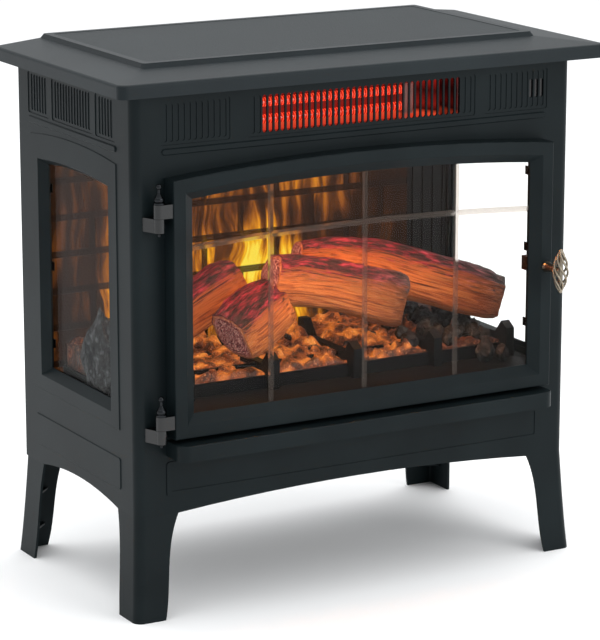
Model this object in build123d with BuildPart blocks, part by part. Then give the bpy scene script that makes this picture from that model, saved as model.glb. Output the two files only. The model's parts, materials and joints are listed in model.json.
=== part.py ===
"""Free-standing electric stove fireplace: every separate piece of it, in millimetres.

Frame: +X to the right as seen from the front, -Y towards the front, +Z up.
The origin is on the floor, under the middle of the whole object's box.
"""
import os
from math import cos, pi, sin

from build123d import *

os.makedirs("parts", exist_ok=True)

# ---------------------------------------------------------------- driving dimensions
# Top slab
SLAB_W, SLAB_D = 609.6, 328.0
SLAB_Y = 12.0
SLAB_Z, RIM_Z, PLATEAU_Z, TOP_Z = 581.3, 596.6, 601.6, 606.6
SLAB_R, SLAB_EDGE_R = 10.0, 3.5
PLATEAU_W = 496.8
PLATEAU_FRONT = -88.3
PLATEAU_SLOPE = 3.0

# Body shell
BODY_W = 552.8
FRONT, BACK = -120.5, 169.5
SEAM_Z = 117.0
WALL = 3.0
CORNER_R = 10.5
CORNER_RETURN = 14.0
HALF_W = BODY_W / 2
INNER_X = HALF_W - WALL
REAR_FLANGE = 14.0

# Feet: how far they splay out past the body, and the widths of their two flanges
FOOT_SPLAY_X, FOOT_SPLAY_FRONT, FOOT_SPLAY_REAR = 7.1, 9.5, 12.0

PAN_Z, PAN_T = 130.0, 2.0

# Louvre bands
BAND_LOW, BAND_HIGH = 523.5, 570.0
SLOT_LOW, SLOT_HIGH = 527.0, 568.0
SLOT_W = 5.1
HEATER_PITCH, SIDE_PITCH = 7.4, 7.1
HEATER_BAND_X, HEATER_BAND_W, HEATER_SLOTS = 4.35, 288.7, 38
CORNER_BAND_X, CORNER_BAND_W, CORNER_GROOVES = 202.4, 84.4, 11
BLIND_SLOTS = 2
RECESS, GROOVE = 0.8, 0.8
BEAD_LOW, BEAD_HIGH, BEAD_PROUD = 513.0, 520.0, 1.5

# Door
DOOR_X, DOOR_LOW, DOOR_SIDE_Z, DOOR_CROWN_Z = 240.0, 206.0, 489.0, 501.0
DOOR_FACE = FRONT - 23.0
DOOR_BACK = FRONT - 1.2
RAIL = 14.0
BEVEL_D, LIP = 8.7, 2.0
PANE_X, PANE_LOW, PANE_SIDE_Z, PANE_CROWN_Z = 214.0, 231.5, 466.5, 476.5
PANE_LAP = 6.0
GLASS_T = 4.0
GLASS_Y = DOOR_FACE + BEVEL_D + LIP
DOOR_CLEAR = 0.3

# Hinges: pin axis, knuckles and the two heights
PIN_X, PIN_Y = -253.5, FRONT - 15.0
KNUCKLE_R, PIN_R, PIN_CLEAR = 6.25, 3.0, 0.06
KNUCKLE_H = 15.0
HINGE_Z = {"upper": 449.0, "lower": 217.5}

# Handle
HANDLE_X, HANDLE_Z = 233.0, 346.0
CAGE_Y, CAGE_R, CAGE_H, CAGE_END_R = -172.0, 8.55, 51.0, 4.6
WIRE_R, WIRES, WIRE_TURN = 0.95, 8, 0.72

# Firebox
WINDOW_FRONT, WINDOW_BACK = -61.0, 120.0
WINDOW_LOW, WINDOW_SIDE_Z, WINDOW_CROWN_Z = 224.0, 474.5, 479.0
WINDOW_BEVEL, WINDOW_DEPTH = 9.2, 8.3
FLOOR_Z, ROOF_Z = 220.0, 505.0
SCREEN_Y, SCREEN_T = 120.5, 4.5
SCREEN_LEFT, SCREEN_RIGHT = -262.0, 207.0
BRICK_H, MORTAR = 42.4, 8.0
TRAY_FRONT, TRAY_WALL, TRAY_TOP = -43.0, 2.5, 235.0

# Planes to draw on: the front face, the right side face and the rear face
front_face = Plane.XZ.offset(-FRONT)
door_face = Plane.XZ.offset(-DOOR_FACE)
right_face = Plane.YZ.offset(HALF_W)
rear_face = Plane.XZ.offset(-BACK)


# ---------------------------------------------------------------- shared outlines
def arched(plane, low_x, high_x, low_z, side_z, crown_z):
    """A face with a straight foot and sides and a shallow arched top."""
    with BuildSketch(plane) as outline:
        with BuildLine():
            Polyline((low_x, side_z), (low_x, low_z), (high_x, low_z), (high_x, side_z))
            ThreePointArc((high_x, side_z), ((low_x + high_x) / 2, crown_z), (low_x, side_z))
        make_face()
    return outline.sketch


def panel(plane, low_x, high_x, low_z, high_z, radius):
    """A rounded rectangle given by its sides."""
    with BuildSketch(plane) as outline:
        with Locations(((low_x + high_x) / 2, (low_z + high_z) / 2)):
            RectangleRounded(high_x - low_x, high_z - low_z, radius)
    return outline.sketch


def upright_slots(plane, middle_x, pitch, count, low_z, high_z):
    """A row of upright round-ended slots."""
    with BuildSketch(plane) as row:
        with Locations((middle_x, (low_z + high_z) / 2)):
            with GridLocations(pitch, 1, count, 1):
                SlotOverall(high_z - low_z, SLOT_W, rotation=90)
    return row.sketch


def box_between(low, high):
    """A block given by its two opposite corners."""
    size = [b - a for a, b in zip(low, high)]
    middle = [(a + b) / 2 for a, b in zip(low, high)]
    with BuildPart() as block:
        with Locations(tuple(middle)):
            Box(*size)
    return block.part


# ---------------------------------------------------------------- top slab
PLATEAU_BACK = SLAB_Y + SLAB_D / 2 - SLAB_EDGE_R
PLATEAU_MID = (PLATEAU_FRONT + PLATEAU_BACK) / 2
PLATEAU_D = PLATEAU_BACK - PLATEAU_FRONT
PLATEAU_R = 4.0
SKIN = 3.3
TEXTURE_INSET, TEXTURE_SINK = 12.0, 0.4

with BuildPart() as top_panel:
    with BuildSketch(Plane.XY.offset(SLAB_Z)):
        with Locations((0, SLAB_Y)):
            RectangleRounded(SLAB_W, SLAB_D, SLAB_R)
    extrude(amount=RIM_Z - SLAB_Z)
    fillet(top_panel.edges().group_by(Axis.Z)[-1], SLAB_EDGE_R)
    # the margin slopes up gently from the rim to the foot of the raised plateau
    with BuildSketch(Plane.XY.offset(RIM_Z)):
        with Locations((0, SLAB_Y)):
            RectangleRounded(SLAB_W - 2 * SLAB_EDGE_R, SLAB_D - 2 * SLAB_EDGE_R, SLAB_R - SLAB_EDGE_R)
    with BuildSketch(Plane.XY.offset(PLATEAU_Z)):
        with Locations((0, PLATEAU_MID)):
            RectangleRounded(PLATEAU_W, PLATEAU_D, PLATEAU_R)
    loft()
    with BuildSketch(Plane.XY.offset(PLATEAU_Z)):
        with Locations((0, PLATEAU_MID)):
            RectangleRounded(PLATEAU_W, PLATEAU_D, PLATEAU_R)
    with BuildSketch(Plane.XY.offset(TOP_Z)):
        with Locations((0, PLATEAU_MID)):
            RectangleRounded(PLATEAU_W - 2 * PLATEAU_SLOPE, PLATEAU_D - 2 * PLATEAU_SLOPE, PLATEAU_R)
    loft()
    # textured field, sunk a little into the plateau
    with BuildSketch(Plane.XY.offset(TOP_Z)):
        with Locations((0, PLATEAU_MID)):
            RectangleRounded(PLATEAU_W - 2 * TEXTURE_INSET, PLATEAU_D - 2 * TEXTURE_INSET, PLATEAU_R)
    extrude(amount=-TEXTURE_SINK, mode=Mode.SUBTRACT)
    # hollow underside, in two steps
    with BuildSketch(Plane.XY.offset(SLAB_Z)):
        with Locations((0, (FRONT + BACK) / 2)):
            Rectangle(BODY_W - 16, BACK - FRONT - 16)
    extrude(amount=RIM_Z - SLAB_Z - SKIN, mode=Mode.SUBTRACT)
    with BuildSketch(Plane.XY.offset(SLAB_Z)):
        with Locations((0, (PLATEAU_FRONT + BACK) / 2)):
            Rectangle(PLATEAU_W - 16, BACK - PLATEAU_FRONT - 16)
    extrude(amount=TOP_Z - SLAB_Z - SKIN, mode=Mode.SUBTRACT)
top_panel.part.label = "top_panel"
export_step(top_panel.part, "parts/top_panel.step")

# ---------------------------------------------------------------- front fascia
MOUTH_X, MOUTH_LOW, MOUTH_SIDE_Z, MOUTH_CROWN_Z = 230.0, 214.0, 480.0, 492.0
APRON_X, APRON_RISE = 228.0, 10.0
PLINTH_X, PLINTH_LOW, PLINTH_HIGH = 240.5, 137.5, 176.0
PLINTH_PROUD, PLINTH_BORDER, PLINTH_SINK = 1.2, 5.0, 0.7
SENSOR_LOW, SENSOR_HIGH, SENSOR_SLOTS = 537.0, 558.0, 3
SENSOR_X = CORNER_BAND_X + (CORNER_GROOVES - SENSOR_SLOTS) / 2 * SIDE_PITCH
BEAD_X = 242.5
SHELL_D = 100.0

with BuildPart() as front_fascia:
    # one bent sheet: the front and the two rounded corners
    with BuildSketch(Plane.XY.offset(SEAM_Z)):
        with Locations((0, FRONT + SHELL_D / 2)):
            RectangleRounded(BODY_W, SHELL_D, CORNER_R)
        with Locations((0, FRONT + WALL + SHELL_D / 2)):
            RectangleRounded(BODY_W - 2 * WALL, SHELL_D, CORNER_R - WALL, mode=Mode.SUBTRACT)
        with Locations((0, FRONT + CORNER_RETURN + SHELL_D / 2)):
            Rectangle(BODY_W, SHELL_D, mode=Mode.SUBTRACT)
    extrude(amount=SLAB_Z - SEAM_Z)
    # firebox mouth behind the door
    extrude(arched(front_face, -MOUTH_X, MOUTH_X, MOUTH_LOW, MOUTH_SIDE_Z, MOUTH_CROWN_Z),
            amount=-WALL, mode=Mode.SUBTRACT)
    # arched apron between the two front legs
    with BuildSketch(front_face):
        with BuildLine():
            Line((-APRON_X, SEAM_Z), (APRON_X, SEAM_Z))
            ThreePointArc((-APRON_X, SEAM_Z), (0, SEAM_Z + APRON_RISE), (APRON_X, SEAM_Z))
        make_face()
    extrude(amount=-WALL, mode=Mode.SUBTRACT)
    # sunk bands with their blind grooves
    for band_x, band_w in ((-CORNER_BAND_X, CORNER_BAND_W), (CORNER_BAND_X, CORNER_BAND_W),
                           (HEATER_BAND_X, HEATER_BAND_W)):
        extrude(panel(front_face, band_x - band_w / 2, band_x + band_w / 2, BAND_LOW, BAND_HIGH, 3.0),
                amount=-RECESS, mode=Mode.SUBTRACT)
    for band_x in (-CORNER_BAND_X, CORNER_BAND_X):
        extrude(upright_slots(front_face, band_x, SIDE_PITCH, CORNER_GROOVES, SLOT_LOW, SLOT_HIGH),
                amount=-RECESS - GROOVE, mode=Mode.SUBTRACT)
    extrude(upright_slots(front_face, HEATER_BAND_X, HEATER_PITCH, HEATER_SLOTS, SLOT_LOW, SLOT_HIGH),
            amount=-RECESS - GROOVE, mode=Mode.SUBTRACT)
    # the warm air slots and the remote sensor's slots go right through
    extrude(upright_slots(front_face, HEATER_BAND_X, HEATER_PITCH, HEATER_SLOTS - 2 * BLIND_SLOTS,
                          SLOT_LOW, SLOT_HIGH), amount=-WALL, mode=Mode.SUBTRACT)
    extrude(upright_slots(front_face, SENSOR_X, SIDE_PITCH, SENSOR_SLOTS, SENSOR_LOW, SENSOR_HIGH),
            amount=-WALL, mode=Mode.SUBTRACT)
    # raised bead under the bands
    with BuildSketch(front_face):
        with Locations((0, (BEAD_LOW + BEAD_HIGH) / 2)):
            SlotOverall(2 * BEAD_X, BEAD_HIGH - BEAD_LOW)
    extrude(amount=BEAD_PROUD)
    # raised plinth panel with a sunk field
    extrude(panel(front_face, -PLINTH_X, PLINTH_X, PLINTH_LOW, PLINTH_HIGH, 4.0), amount=PLINTH_PROUD)
    extrude(panel(front_face.offset(PLINTH_PROUD), -PLINTH_X + PLINTH_BORDER, PLINTH_X - PLINTH_BORDER,
                  PLINTH_LOW + PLINTH_BORDER, PLINTH_HIGH - PLINTH_BORDER, 2.0),
            amount=-PLINTH_SINK, mode=Mode.SUBTRACT)
    bead_rim = front_fascia.faces().sort_by(Axis.Y)[0].edges()
    chamfer(bead_rim, 1.0)
front_fascia.part.label = "front_fascia"
export_step(front_fascia.part, "parts/front_fascia.step")

# ---------------------------------------------------------------- side panels
SCREW_Z = (150.0, 255.0, 360.0, 465.0, 560.0)
SCREW_X = INNER_X - REAR_FLANGE / 2
SCREW_SHANK_R, SCREW_HEAD_R, SCREW_HEAD_H, SCREW_L = 1.8, 3.6, 2.2, 8.0
PANEL_FRONT = FRONT + CORNER_RETURN
SIDE_BANDS = ((-79.5, -30.0, 5), (-23.0, 81.0, 13), (89.0, 144.0, 6))
SIDE_BEAD = (-81.0, 144.0)
PAD_PROUD = 1.0
SURROUND = 12.0
SURROUND_X = HALF_W - 13.8
SIDE_APRON = (-72.0, 125.0)
SIDE_PANE = (WINDOW_FRONT + WINDOW_BEVEL, WINDOW_BACK - WINDOW_BEVEL, WINDOW_LOW + WINDOW_BEVEL,
             WINDOW_SIDE_Z - WINDOW_BEVEL + 3, WINDOW_CROWN_Z - WINDOW_BEVEL + 3)
SIDE_LAP = 5.0
SIDE_GLASS_T = 3.5
SIDE_GLASS_X = HALF_W - WINDOW_DEPTH - 1.5
pane_front, pane_back, pane_low, pane_side, pane_crown = SIDE_PANE


def pane_outline(plane, lap):
    """The side window's opening, grown by lap on every side."""
    return arched(plane, pane_front - lap, pane_back + lap,
                  pane_low - lap, pane_side + lap, pane_crown + lap)


with BuildPart() as right_side_panel:
    add(box_between((INNER_X, PANEL_FRONT, SEAM_Z), (HALF_W, BACK, SLAB_Z)))
    # rear flange that carries the back cover
    add(box_between((INNER_X - REAR_FLANGE, BACK - 2 * WALL, PAN_Z + PAN_T),
                    (INNER_X, BACK - WALL, SLAB_Z - 4)))
    for z in SCREW_Z:
        with Locations(Plane.XZ.offset(-(BACK - 1.5 * WALL)) * Location((SCREW_X, z, 0))):
            Cylinder(SCREW_SHANK_R, 3 * WALL, mode=Mode.SUBTRACT)
    # surround that the window funnel is sunk into
    extrude(arched(Plane.YZ.offset(SURROUND_X), WINDOW_FRONT - SURROUND + 4, WINDOW_BACK + SURROUND - 4,
                   WINDOW_LOW - SURROUND + 4, WINDOW_SIDE_Z + SURROUND - 4, WINDOW_CROWN_Z + SURROUND - 4),
            amount=INNER_X - SURROUND_X)
    # raised pads: around the window and along the plinth
    extrude(arched(right_face, -81.0, 138.0, 207.0, 501.0, 508.0), amount=PAD_PROUD)
    extrude(panel(right_face, -82.0, 137.5, 139.5, 176.0, 4.0), amount=PAD_PROUD)
    chamfer(right_side_panel.faces().sort_by(Axis.X)[-2:].edges(), 0.9)
    # window funnel, the lip that the glass rests on and the glass pocket
    loft([arched(Plane.YZ.offset(HALF_W + PAD_PROUD), WINDOW_FRONT, WINDOW_BACK, WINDOW_LOW,
                 WINDOW_SIDE_Z, WINDOW_CROWN_Z),
          pane_outline(Plane.YZ.offset(HALF_W - WINDOW_DEPTH), 0)], mode=Mode.SUBTRACT)
    extrude(pane_outline(Plane.YZ.offset(HALF_W - WINDOW_DEPTH), 0), amount=-1.5, mode=Mode.SUBTRACT)
    extrude(pane_outline(Plane.YZ.offset(SIDE_GLASS_X), SIDE_LAP), amount=-20, mode=Mode.SUBTRACT)
    # arched foot between the legs
    with BuildSketch(right_face):
        with BuildLine():
            Line((SIDE_APRON[0], SEAM_Z), (SIDE_APRON[1], SEAM_Z))
            ThreePointArc((SIDE_APRON[0], SEAM_Z), (sum(SIDE_APRON) / 2, SEAM_Z + APRON_RISE),
                          (SIDE_APRON[1], SEAM_Z))
        make_face()
    extrude(amount=-WALL, mode=Mode.SUBTRACT)
    # sunk bands, blind grooves and bead
    for low_y, high_y, grooves in SIDE_BANDS:
        extrude(panel(right_face, low_y, high_y, BAND_LOW, BAND_HIGH, 3.0),
                amount=-RECESS, mode=Mode.SUBTRACT)
        extrude(upright_slots(right_face, (low_y + high_y) / 2, SIDE_PITCH, grooves, SLOT_LOW, SLOT_HIGH),
                amount=-RECESS - GROOVE, mode=Mode.SUBTRACT)
    with BuildSketch(right_face):
        with Locations((sum(SIDE_BEAD) / 2, (BEAD_LOW + BEAD_HIGH) / 2)):
            SlotOverall(SIDE_BEAD[1] - SIDE_BEAD[0], BEAD_HIGH - BEAD_LOW)
    extrude(amount=BEAD_PROUD)
    chamfer(right_side_panel.faces().sort_by(Axis.X)[-1].edges(), 1.0)
right_side_panel.part.label = "right_side_panel"
export_step(right_side_panel.part, "parts/right_side_panel.step")

with BuildPart() as left_side_panel:
    mirror(right_side_panel.part, about=Plane.YZ)
left_side_panel.part.label = "left_side_panel"
export_step(left_side_panel.part, "parts/left_side_panel.step")

# ---------------------------------------------------------------- back cover
VENT_PITCH, VENT_L, VENT_W, VENT_ROWS = 9.0, 150.0, 4.0, 9
INTAKE_X, INTAKE_Z = -90.0, 533.0
LOW_VENT_Z = 190.0
CONTROL_X, CONTROL_Z, CONTROL_W, CONTROL_H = 150.0, 540.0, 132.0, 36.0
INLET_X, INLET_Z, INLET_R = -205.0, 152.0, 8.0

with BuildPart() as back_cover:
    add(box_between((-INNER_X, BACK - WALL, SEAM_Z), (INNER_X, BACK, SLAB_Z)))
    for vent_x, vent_z, rows in ((INTAKE_X, INTAKE_Z, VENT_ROWS), (0, LOW_VENT_Z, 5), (160, LOW_VENT_Z, 5)):
        with BuildSketch(rear_face):
            with Locations((vent_x, vent_z)):
                with GridLocations(1, VENT_PITCH, 1, rows):
                    SlotOverall(VENT_L, VENT_W)
        extrude(amount=WALL, mode=Mode.SUBTRACT)
    with BuildSketch(rear_face):
        with Locations((CONTROL_X, CONTROL_Z)):
            RectangleRounded(CONTROL_W, CONTROL_H, 4)
        with Locations((INLET_X, INLET_Z)):
            Circle(INLET_R)
        for side in (-1, 1):
            for z in SCREW_Z:
                with Locations((side * SCREW_X, z)):
                    Circle(SCREW_SHANK_R)
    extrude(amount=WALL, mode=Mode.SUBTRACT)
    # shallow stiffening press-out across the middle
    extrude(panel(rear_face, -230, 230, 250, 440, 12), amount=-PAD_PROUD)
    chamfer(back_cover.faces().sort_by(Axis.Y)[-1].edges(), 0.9)
back_cover.part.label = "back_cover"
export_step(back_cover.part, "parts/back_cover.step")

with BuildPart() as back_cover_screws:
    with BuildSketch(rear_face):
        for side in (-1, 1):
            for z in SCREW_Z:
                with Locations((side * SCREW_X, z)):
                    Circle(SCREW_SHANK_R)
    extrude(amount=SCREW_L)
    with BuildSketch(rear_face):
        for side in (-1, 1):
            for z in SCREW_Z:
                with Locations((side * SCREW_X, z)):
                    Circle(SCREW_HEAD_R)
    extrude(amount=-SCREW_HEAD_H)
    head_tops = back_cover_screws.faces().filter_by(Plane.XZ).group_by(Axis.Y)[-1]
    fillet(head_tops.edges(), 0.8)
    with BuildSketch(rear_face.offset(-SCREW_HEAD_H)):
        for side in (-1, 1):
            for z in SCREW_Z:
                with Locations((side * SCREW_X, z)):
                    Rectangle(4.0, 0.9)
                    Rectangle(0.9, 4.0)
    extrude(amount=1.2, mode=Mode.SUBTRACT)
back_cover_screws.part.label = "back_cover_screws"
export_step(back_cover_screws.part, "parts/back_cover_screws.step")

# ---------------------------------------------------------------- base pan
with BuildPart() as base_pan:
    pan_d = BACK - FRONT - 2 * WALL
    with BuildSketch(Plane.XY.offset(PAN_Z)):
        with Locations((0, (FRONT + BACK) / 2)):
            RectangleRounded(2 * INNER_X, pan_d, CORNER_R - WALL)
    extrude(amount=PAN_T)
    # a grid of drain and cooling holes
    with BuildSketch(Plane.XY.offset(PAN_Z)):
        with Locations((0, (FRONT + BACK) / 2)):
            with GridLocations(40, 14, 9, 9):
                SlotOverall(26, 4)
    extrude(amount=PAN_T, mode=Mode.SUBTRACT)
base_pan.part.label = "base_pan"
export_step(base_pan.part, "parts/base_pan.step")

# ---------------------------------------------------------------- legs
# The L-shaped section at four heights: height, share of the full splay, and the widths of its flanges
# across the front and along the side
LEG_STATIONS = (
    (117.0, 0.0, 50.0, 48.0),
    (97.0, 0.14, 43.5, 44.5),
    (50.0, 0.5, 39.0, 43.0),
    (0.0, 1.0, 36.0, 43.0),
)
LEG_WALL, LEG_CAP_T = 3.0, 4.0
LEG_RIB_Z, LEG_RIB_T, LEG_RIB_L, LEG_RIB_TIP = (28.0, 72.0), 2.0, 26.0, 6.0
LEG_RIB_ROOT = (BACK - FRONT - LEG_WALL) / 2
REAR_CORNER_R = CORNER_R / 2
SOCKET, SPIGOT = 34.0, 22.0


def leg_section(side, end, height, share, across, along):
    """The L-shaped section of one leg at one height, with its rounded outer corner."""
    splay_y = FOOT_SPLAY_REAR if end > 0 else FOOT_SPLAY_FRONT
    corner_x = side * (HALF_W + share * FOOT_SPLAY_X)
    corner_y = (BACK + share * splay_y) if end > 0 else (FRONT - share * splay_y)
    with BuildSketch(Plane.XY.offset(height)) as section:
        with BuildLine():
            Polyline(
                (corner_x, corner_y),
                (corner_x - side * across, corner_y),
                (corner_x - side * across, corner_y - end * LEG_WALL),
                (corner_x - side * LEG_WALL, corner_y - end * LEG_WALL),
                (corner_x - side * LEG_WALL, corner_y - end * along),
                (corner_x, corner_y - end * along),
                close=True,
            )
        make_face()
        outer = section.vertices().sort_by_distance((corner_x, corner_y))[0]
        fillet(outer, CORNER_R if end < 0 else REAR_CORNER_R)
        angle_root = (corner_x - side * LEG_WALL, corner_y - end * LEG_WALL)
        fillet(section.vertices().sort_by_distance(angle_root)[0], 2.0)
    return section.sketch


for end_name, end in (("front", -1), ("rear", 1)):
    for side_name, side in (("left", -1), ("right", 1)):
        name = f"{side_name}_{end_name}_leg"
        corner_r = CORNER_R if end < 0 else REAR_CORNER_R
        splay_y = FOOT_SPLAY_REAR if end > 0 else FOOT_SPLAY_FRONT
        cap_x = side * (HALF_W - LEG_WALL / 2 - SOCKET / 2)
        cap_y = (BACK if end > 0 else FRONT) - end * (LEG_WALL / 2 + SOCKET / 2)
        with BuildPart() as leg:
            loft([leg_section(side, end, *station) for station in reversed(LEG_STATIONS)])
            # cap that closes the top of the angle, and the hollow spigot that stands up to the base pan
            with BuildSketch(Plane.XY.offset(SEAM_Z - LEG_CAP_T)):
                with Locations((cap_x, cap_y)):
                    RectangleRounded(SOCKET, SOCKET, corner_r - LEG_WALL / 2)
            extrude(amount=LEG_CAP_T)
            with BuildSketch(Plane.XY.offset(SEAM_Z)):
                with Locations((cap_x, cap_y)):
                    Rectangle(SPIGOT, SPIGOT)
                    Rectangle(SPIGOT - 2 * LEG_WALL, SPIGOT - 2 * LEG_WALL, mode=Mode.SUBTRACT)
            extrude(amount=PAN_Z - SEAM_Z)
            # ribs across the inside of the angle, let into both of its flanges
            for rib_z in LEG_RIB_Z:
                share = 1 - rib_z / SEAM_Z
                root_x = side * (HALF_W + share * FOOT_SPLAY_X - LEG_WALL / 2)
                root_y = end * (LEG_RIB_ROOT + share * splay_y) + (FRONT + BACK) / 2
                with BuildSketch(Plane.XY.offset(rib_z)):
                    with BuildLine():
                        Polyline(
                            (root_x - side * corner_r, root_y),
                            (root_x - side * LEG_RIB_L, root_y),
                            (root_x - side * LEG_RIB_L, root_y - end * LEG_RIB_TIP),
                            (root_x - side * LEG_RIB_TIP, root_y - end * LEG_RIB_L),
                            (root_x, root_y - end * LEG_RIB_L),
                            (root_x, root_y - end * corner_r),
                            close=True,
                        )
                    make_face()
                extrude(amount=LEG_RIB_T)
        leg.part.label = name
        export_step(leg.part, f"parts/{name}.step")

# ---------------------------------------------------------------- hearth ledge
LEDGE_X, LEDGE_LOW, LEDGE_HIGH, LEDGE_D, LEDGE_R = 240.0, 183.0, 201.0, 35.0, 12.0

with BuildPart() as hearth_ledge:
    with BuildSketch(Plane.XY.offset(LEDGE_LOW)):
        with Locations((0, FRONT)):
            RectangleRounded(2 * LEDGE_X, 2 * LEDGE_D, LEDGE_R)
        with Locations((0, FRONT + LEDGE_D)):
            Rectangle(2 * LEDGE_X, 2 * LEDGE_D, mode=Mode.SUBTRACT)
    extrude(amount=LEDGE_HIGH - LEDGE_LOW)
    ledge_nose = hearth_ledge.faces().sort_by(Axis.Z)[-1].edges().sort_by(Axis.Y)[:-1]
    fillet(ledge_nose, 1.5)
    # hollow underside
    with BuildSketch(Plane.XY.offset(LEDGE_LOW)):
        with Locations((0, FRONT - WALL)):
            RectangleRounded(2 * (LEDGE_X - WALL), 2 * (LEDGE_D - 2 * WALL), LEDGE_R - WALL)
        with Locations((0, FRONT - WALL + LEDGE_D)):
            Rectangle(2 * LEDGE_X, 2 * LEDGE_D, mode=Mode.SUBTRACT)
    extrude(amount=LEDGE_HIGH - LEDGE_LOW - WALL, mode=Mode.SUBTRACT)
hearth_ledge.part.label = "hearth_ledge"
export_step(hearth_ledge.part, "parts/hearth_ledge.step")

# ---------------------------------------------------------------- side window glass and its clips
CLIP_W, CLIP_T, CLIP_REACH = 10.0, 1.2, 4.0

for side_name, side in (("left", -1), ("right", 1)):
    glass_name = f"{side_name}_window_glass"
    with BuildPart() as window_glass:
        outside = Plane.YZ.offset(side * SIDE_GLASS_X)
        extrude(pane_outline(outside, SIDE_LAP - DOOR_CLEAR), amount=-side * SIDE_GLASS_T)
    window_glass.part.label = glass_name
    export_step(window_glass.part, f"parts/{glass_name}.step")

with BuildPart() as window_clips:
    for side in (-1, 1):
        near_x = side * SURROUND_X
        far_x = side * (SURROUND_X - CLIP_T)
        for clip_z in (260.0, 350.0, 440.0):
            for clip_y, reach in ((pane_front - SIDE_LAP, 1), (pane_back + SIDE_LAP, -1)):
                ends = sorted((clip_y - reach * 4, clip_y + reach * CLIP_REACH))
                add(box_between((min(near_x, far_x), ends[0], clip_z - CLIP_W / 2),
                                (max(near_x, far_x), ends[1], clip_z + CLIP_W / 2)))
                with Locations(Location((far_x, clip_y - reach * 1.2, clip_z), (0, 90, 0))):
                    Cylinder(2.4, 1.6)
window_clips.part.label = "window_clips"
export_step(window_clips.part, "parts/window_clips.step")

# ---------------------------------------------------------------- door frame
with BuildPart() as door_frame:
    extrude(arched(door_face, -DOOR_X, DOOR_X, DOOR_LOW, DOOR_SIDE_Z, DOOR_CROWN_Z),
            amount=DOOR_FACE - DOOR_BACK)
    fillet(door_frame.faces().sort_by(Axis.Y)[0].edges(), 1.2)
    # bevelled funnel down to the pane
    loft([arched(door_face, -DOOR_X + RAIL, DOOR_X - RAIL, DOOR_LOW + RAIL, DOOR_SIDE_Z - RAIL,
                 DOOR_CROWN_Z - RAIL),
          arched(door_face.offset(-BEVEL_D), -PANE_X, PANE_X, PANE_LOW, PANE_SIDE_Z, PANE_CROWN_Z)],
         mode=Mode.SUBTRACT)
    extrude(arched(door_face.offset(-BEVEL_D), -PANE_X, PANE_X, PANE_LOW, PANE_SIDE_Z, PANE_CROWN_Z),
            amount=-LIP, mode=Mode.SUBTRACT)
    # the back is open, with a rim round the edge
    extrude(arched(Plane.XZ.offset(-GLASS_Y), -DOOR_X + WALL, DOOR_X - WALL, DOOR_LOW + WALL,
                   DOOR_SIDE_Z - WALL, DOOR_CROWN_Z - WALL), amount=-30, mode=Mode.SUBTRACT)
door_frame.part.label = "door_frame"
export_step(door_frame.part, "parts/door_frame.step")

# ---------------------------------------------------------------- door glass
MUNTIN_X = (-118.0, 0.0, 118.0)
MUNTIN_Z, MUNTIN_END_Z = 420.0, 413.0
MUNTIN_W, MUNTIN_DEEP = 7.0, 1.1
MUNTIN_R = (PANE_X ** 2 + (MUNTIN_Z - MUNTIN_END_Z) ** 2) / (2 * (MUNTIN_Z - MUNTIN_END_Z))


def v_groove(plane):
    """The triangle that cuts one bevelled line into the front of the glass."""
    with BuildSketch(plane) as cut:
        with BuildLine():
            Polyline((-MUNTIN_W / 2, -0.01), (MUNTIN_W / 2, -0.01), (0, MUNTIN_DEEP), close=True)
        make_face()
    return cut.sketch


with BuildPart() as door_glass:
    extrude(arched(Plane.XZ.offset(-GLASS_Y), -PANE_X - PANE_LAP, PANE_X + PANE_LAP, PANE_LOW - PANE_LAP,
                   PANE_SIDE_Z + PANE_LAP, PANE_CROWN_Z + PANE_LAP), amount=-GLASS_T)
    for muntin_x in MUNTIN_X:
        extrude(v_groove(Plane(origin=(muntin_x, GLASS_Y, 0), x_dir=(1, 0, 0), z_dir=(0, 0, 1))),
                amount=TOP_Z, mode=Mode.SUBTRACT)
    # the cross line is a very shallow arc, so its groove is turned about the arc's centre
    arc_centre = Axis((0, GLASS_Y, MUNTIN_Z - MUNTIN_R), (0, 1, 0))
    middle_cut = v_groove(Plane(origin=(0, GLASS_Y, MUNTIN_Z), x_dir=(0, 0, -1), z_dir=(1, 0, 0)))
    for turn in (-5, 5):
        revolve(middle_cut, axis=arc_centre, revolution_arc=turn, mode=Mode.SUBTRACT)
door_glass.part.label = "door_glass"
export_step(door_glass.part, "parts/door_glass.step")

# ---------------------------------------------------------------- door glass clips
SIDE_CLIP_Z, FOOT_CLIP_X = (270.0, 430.0), (-130.0, 130.0)
CLIP_BITE, CLIP_HOLD = 0.4, 3.5
GLASS_BACK = GLASS_Y + GLASS_T

with BuildPart() as door_glass_clips:
    # each clip is a block beside the glass and a tongue that laps over its back
    for side in (-1, 1):
        edge_x = side * (PANE_X + PANE_LAP)
        block = sorted((edge_x + side * CLIP_BITE, edge_x + side * CLIP_W))
        tongue = sorted((edge_x - side * CLIP_HOLD, edge_x + side * CLIP_W))
        for clip_z in SIDE_CLIP_Z:
            low_z, high_z = clip_z - CLIP_W / 2, clip_z + CLIP_W / 2
            add(box_between((block[0], GLASS_Y, low_z), (block[1], GLASS_BACK, high_z)))
            add(box_between((tongue[0], GLASS_BACK, low_z), (tongue[1], GLASS_BACK + CLIP_T, high_z)))
    edge_z = PANE_LOW - PANE_LAP
    for clip_x in FOOT_CLIP_X:
        low_x, high_x = clip_x - CLIP_W / 2, clip_x + CLIP_W / 2
        add(box_between((low_x, GLASS_Y, edge_z - CLIP_REACH), (high_x, GLASS_BACK, edge_z - CLIP_BITE)))
        add(box_between((low_x, GLASS_BACK, edge_z - CLIP_REACH),
                        (high_x, GLASS_BACK + CLIP_T, edge_z + CLIP_HOLD)))
door_glass_clips.part.label = "door_glass_clips"
export_step(door_glass_clips.part, "parts/door_glass_clips.step")

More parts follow.
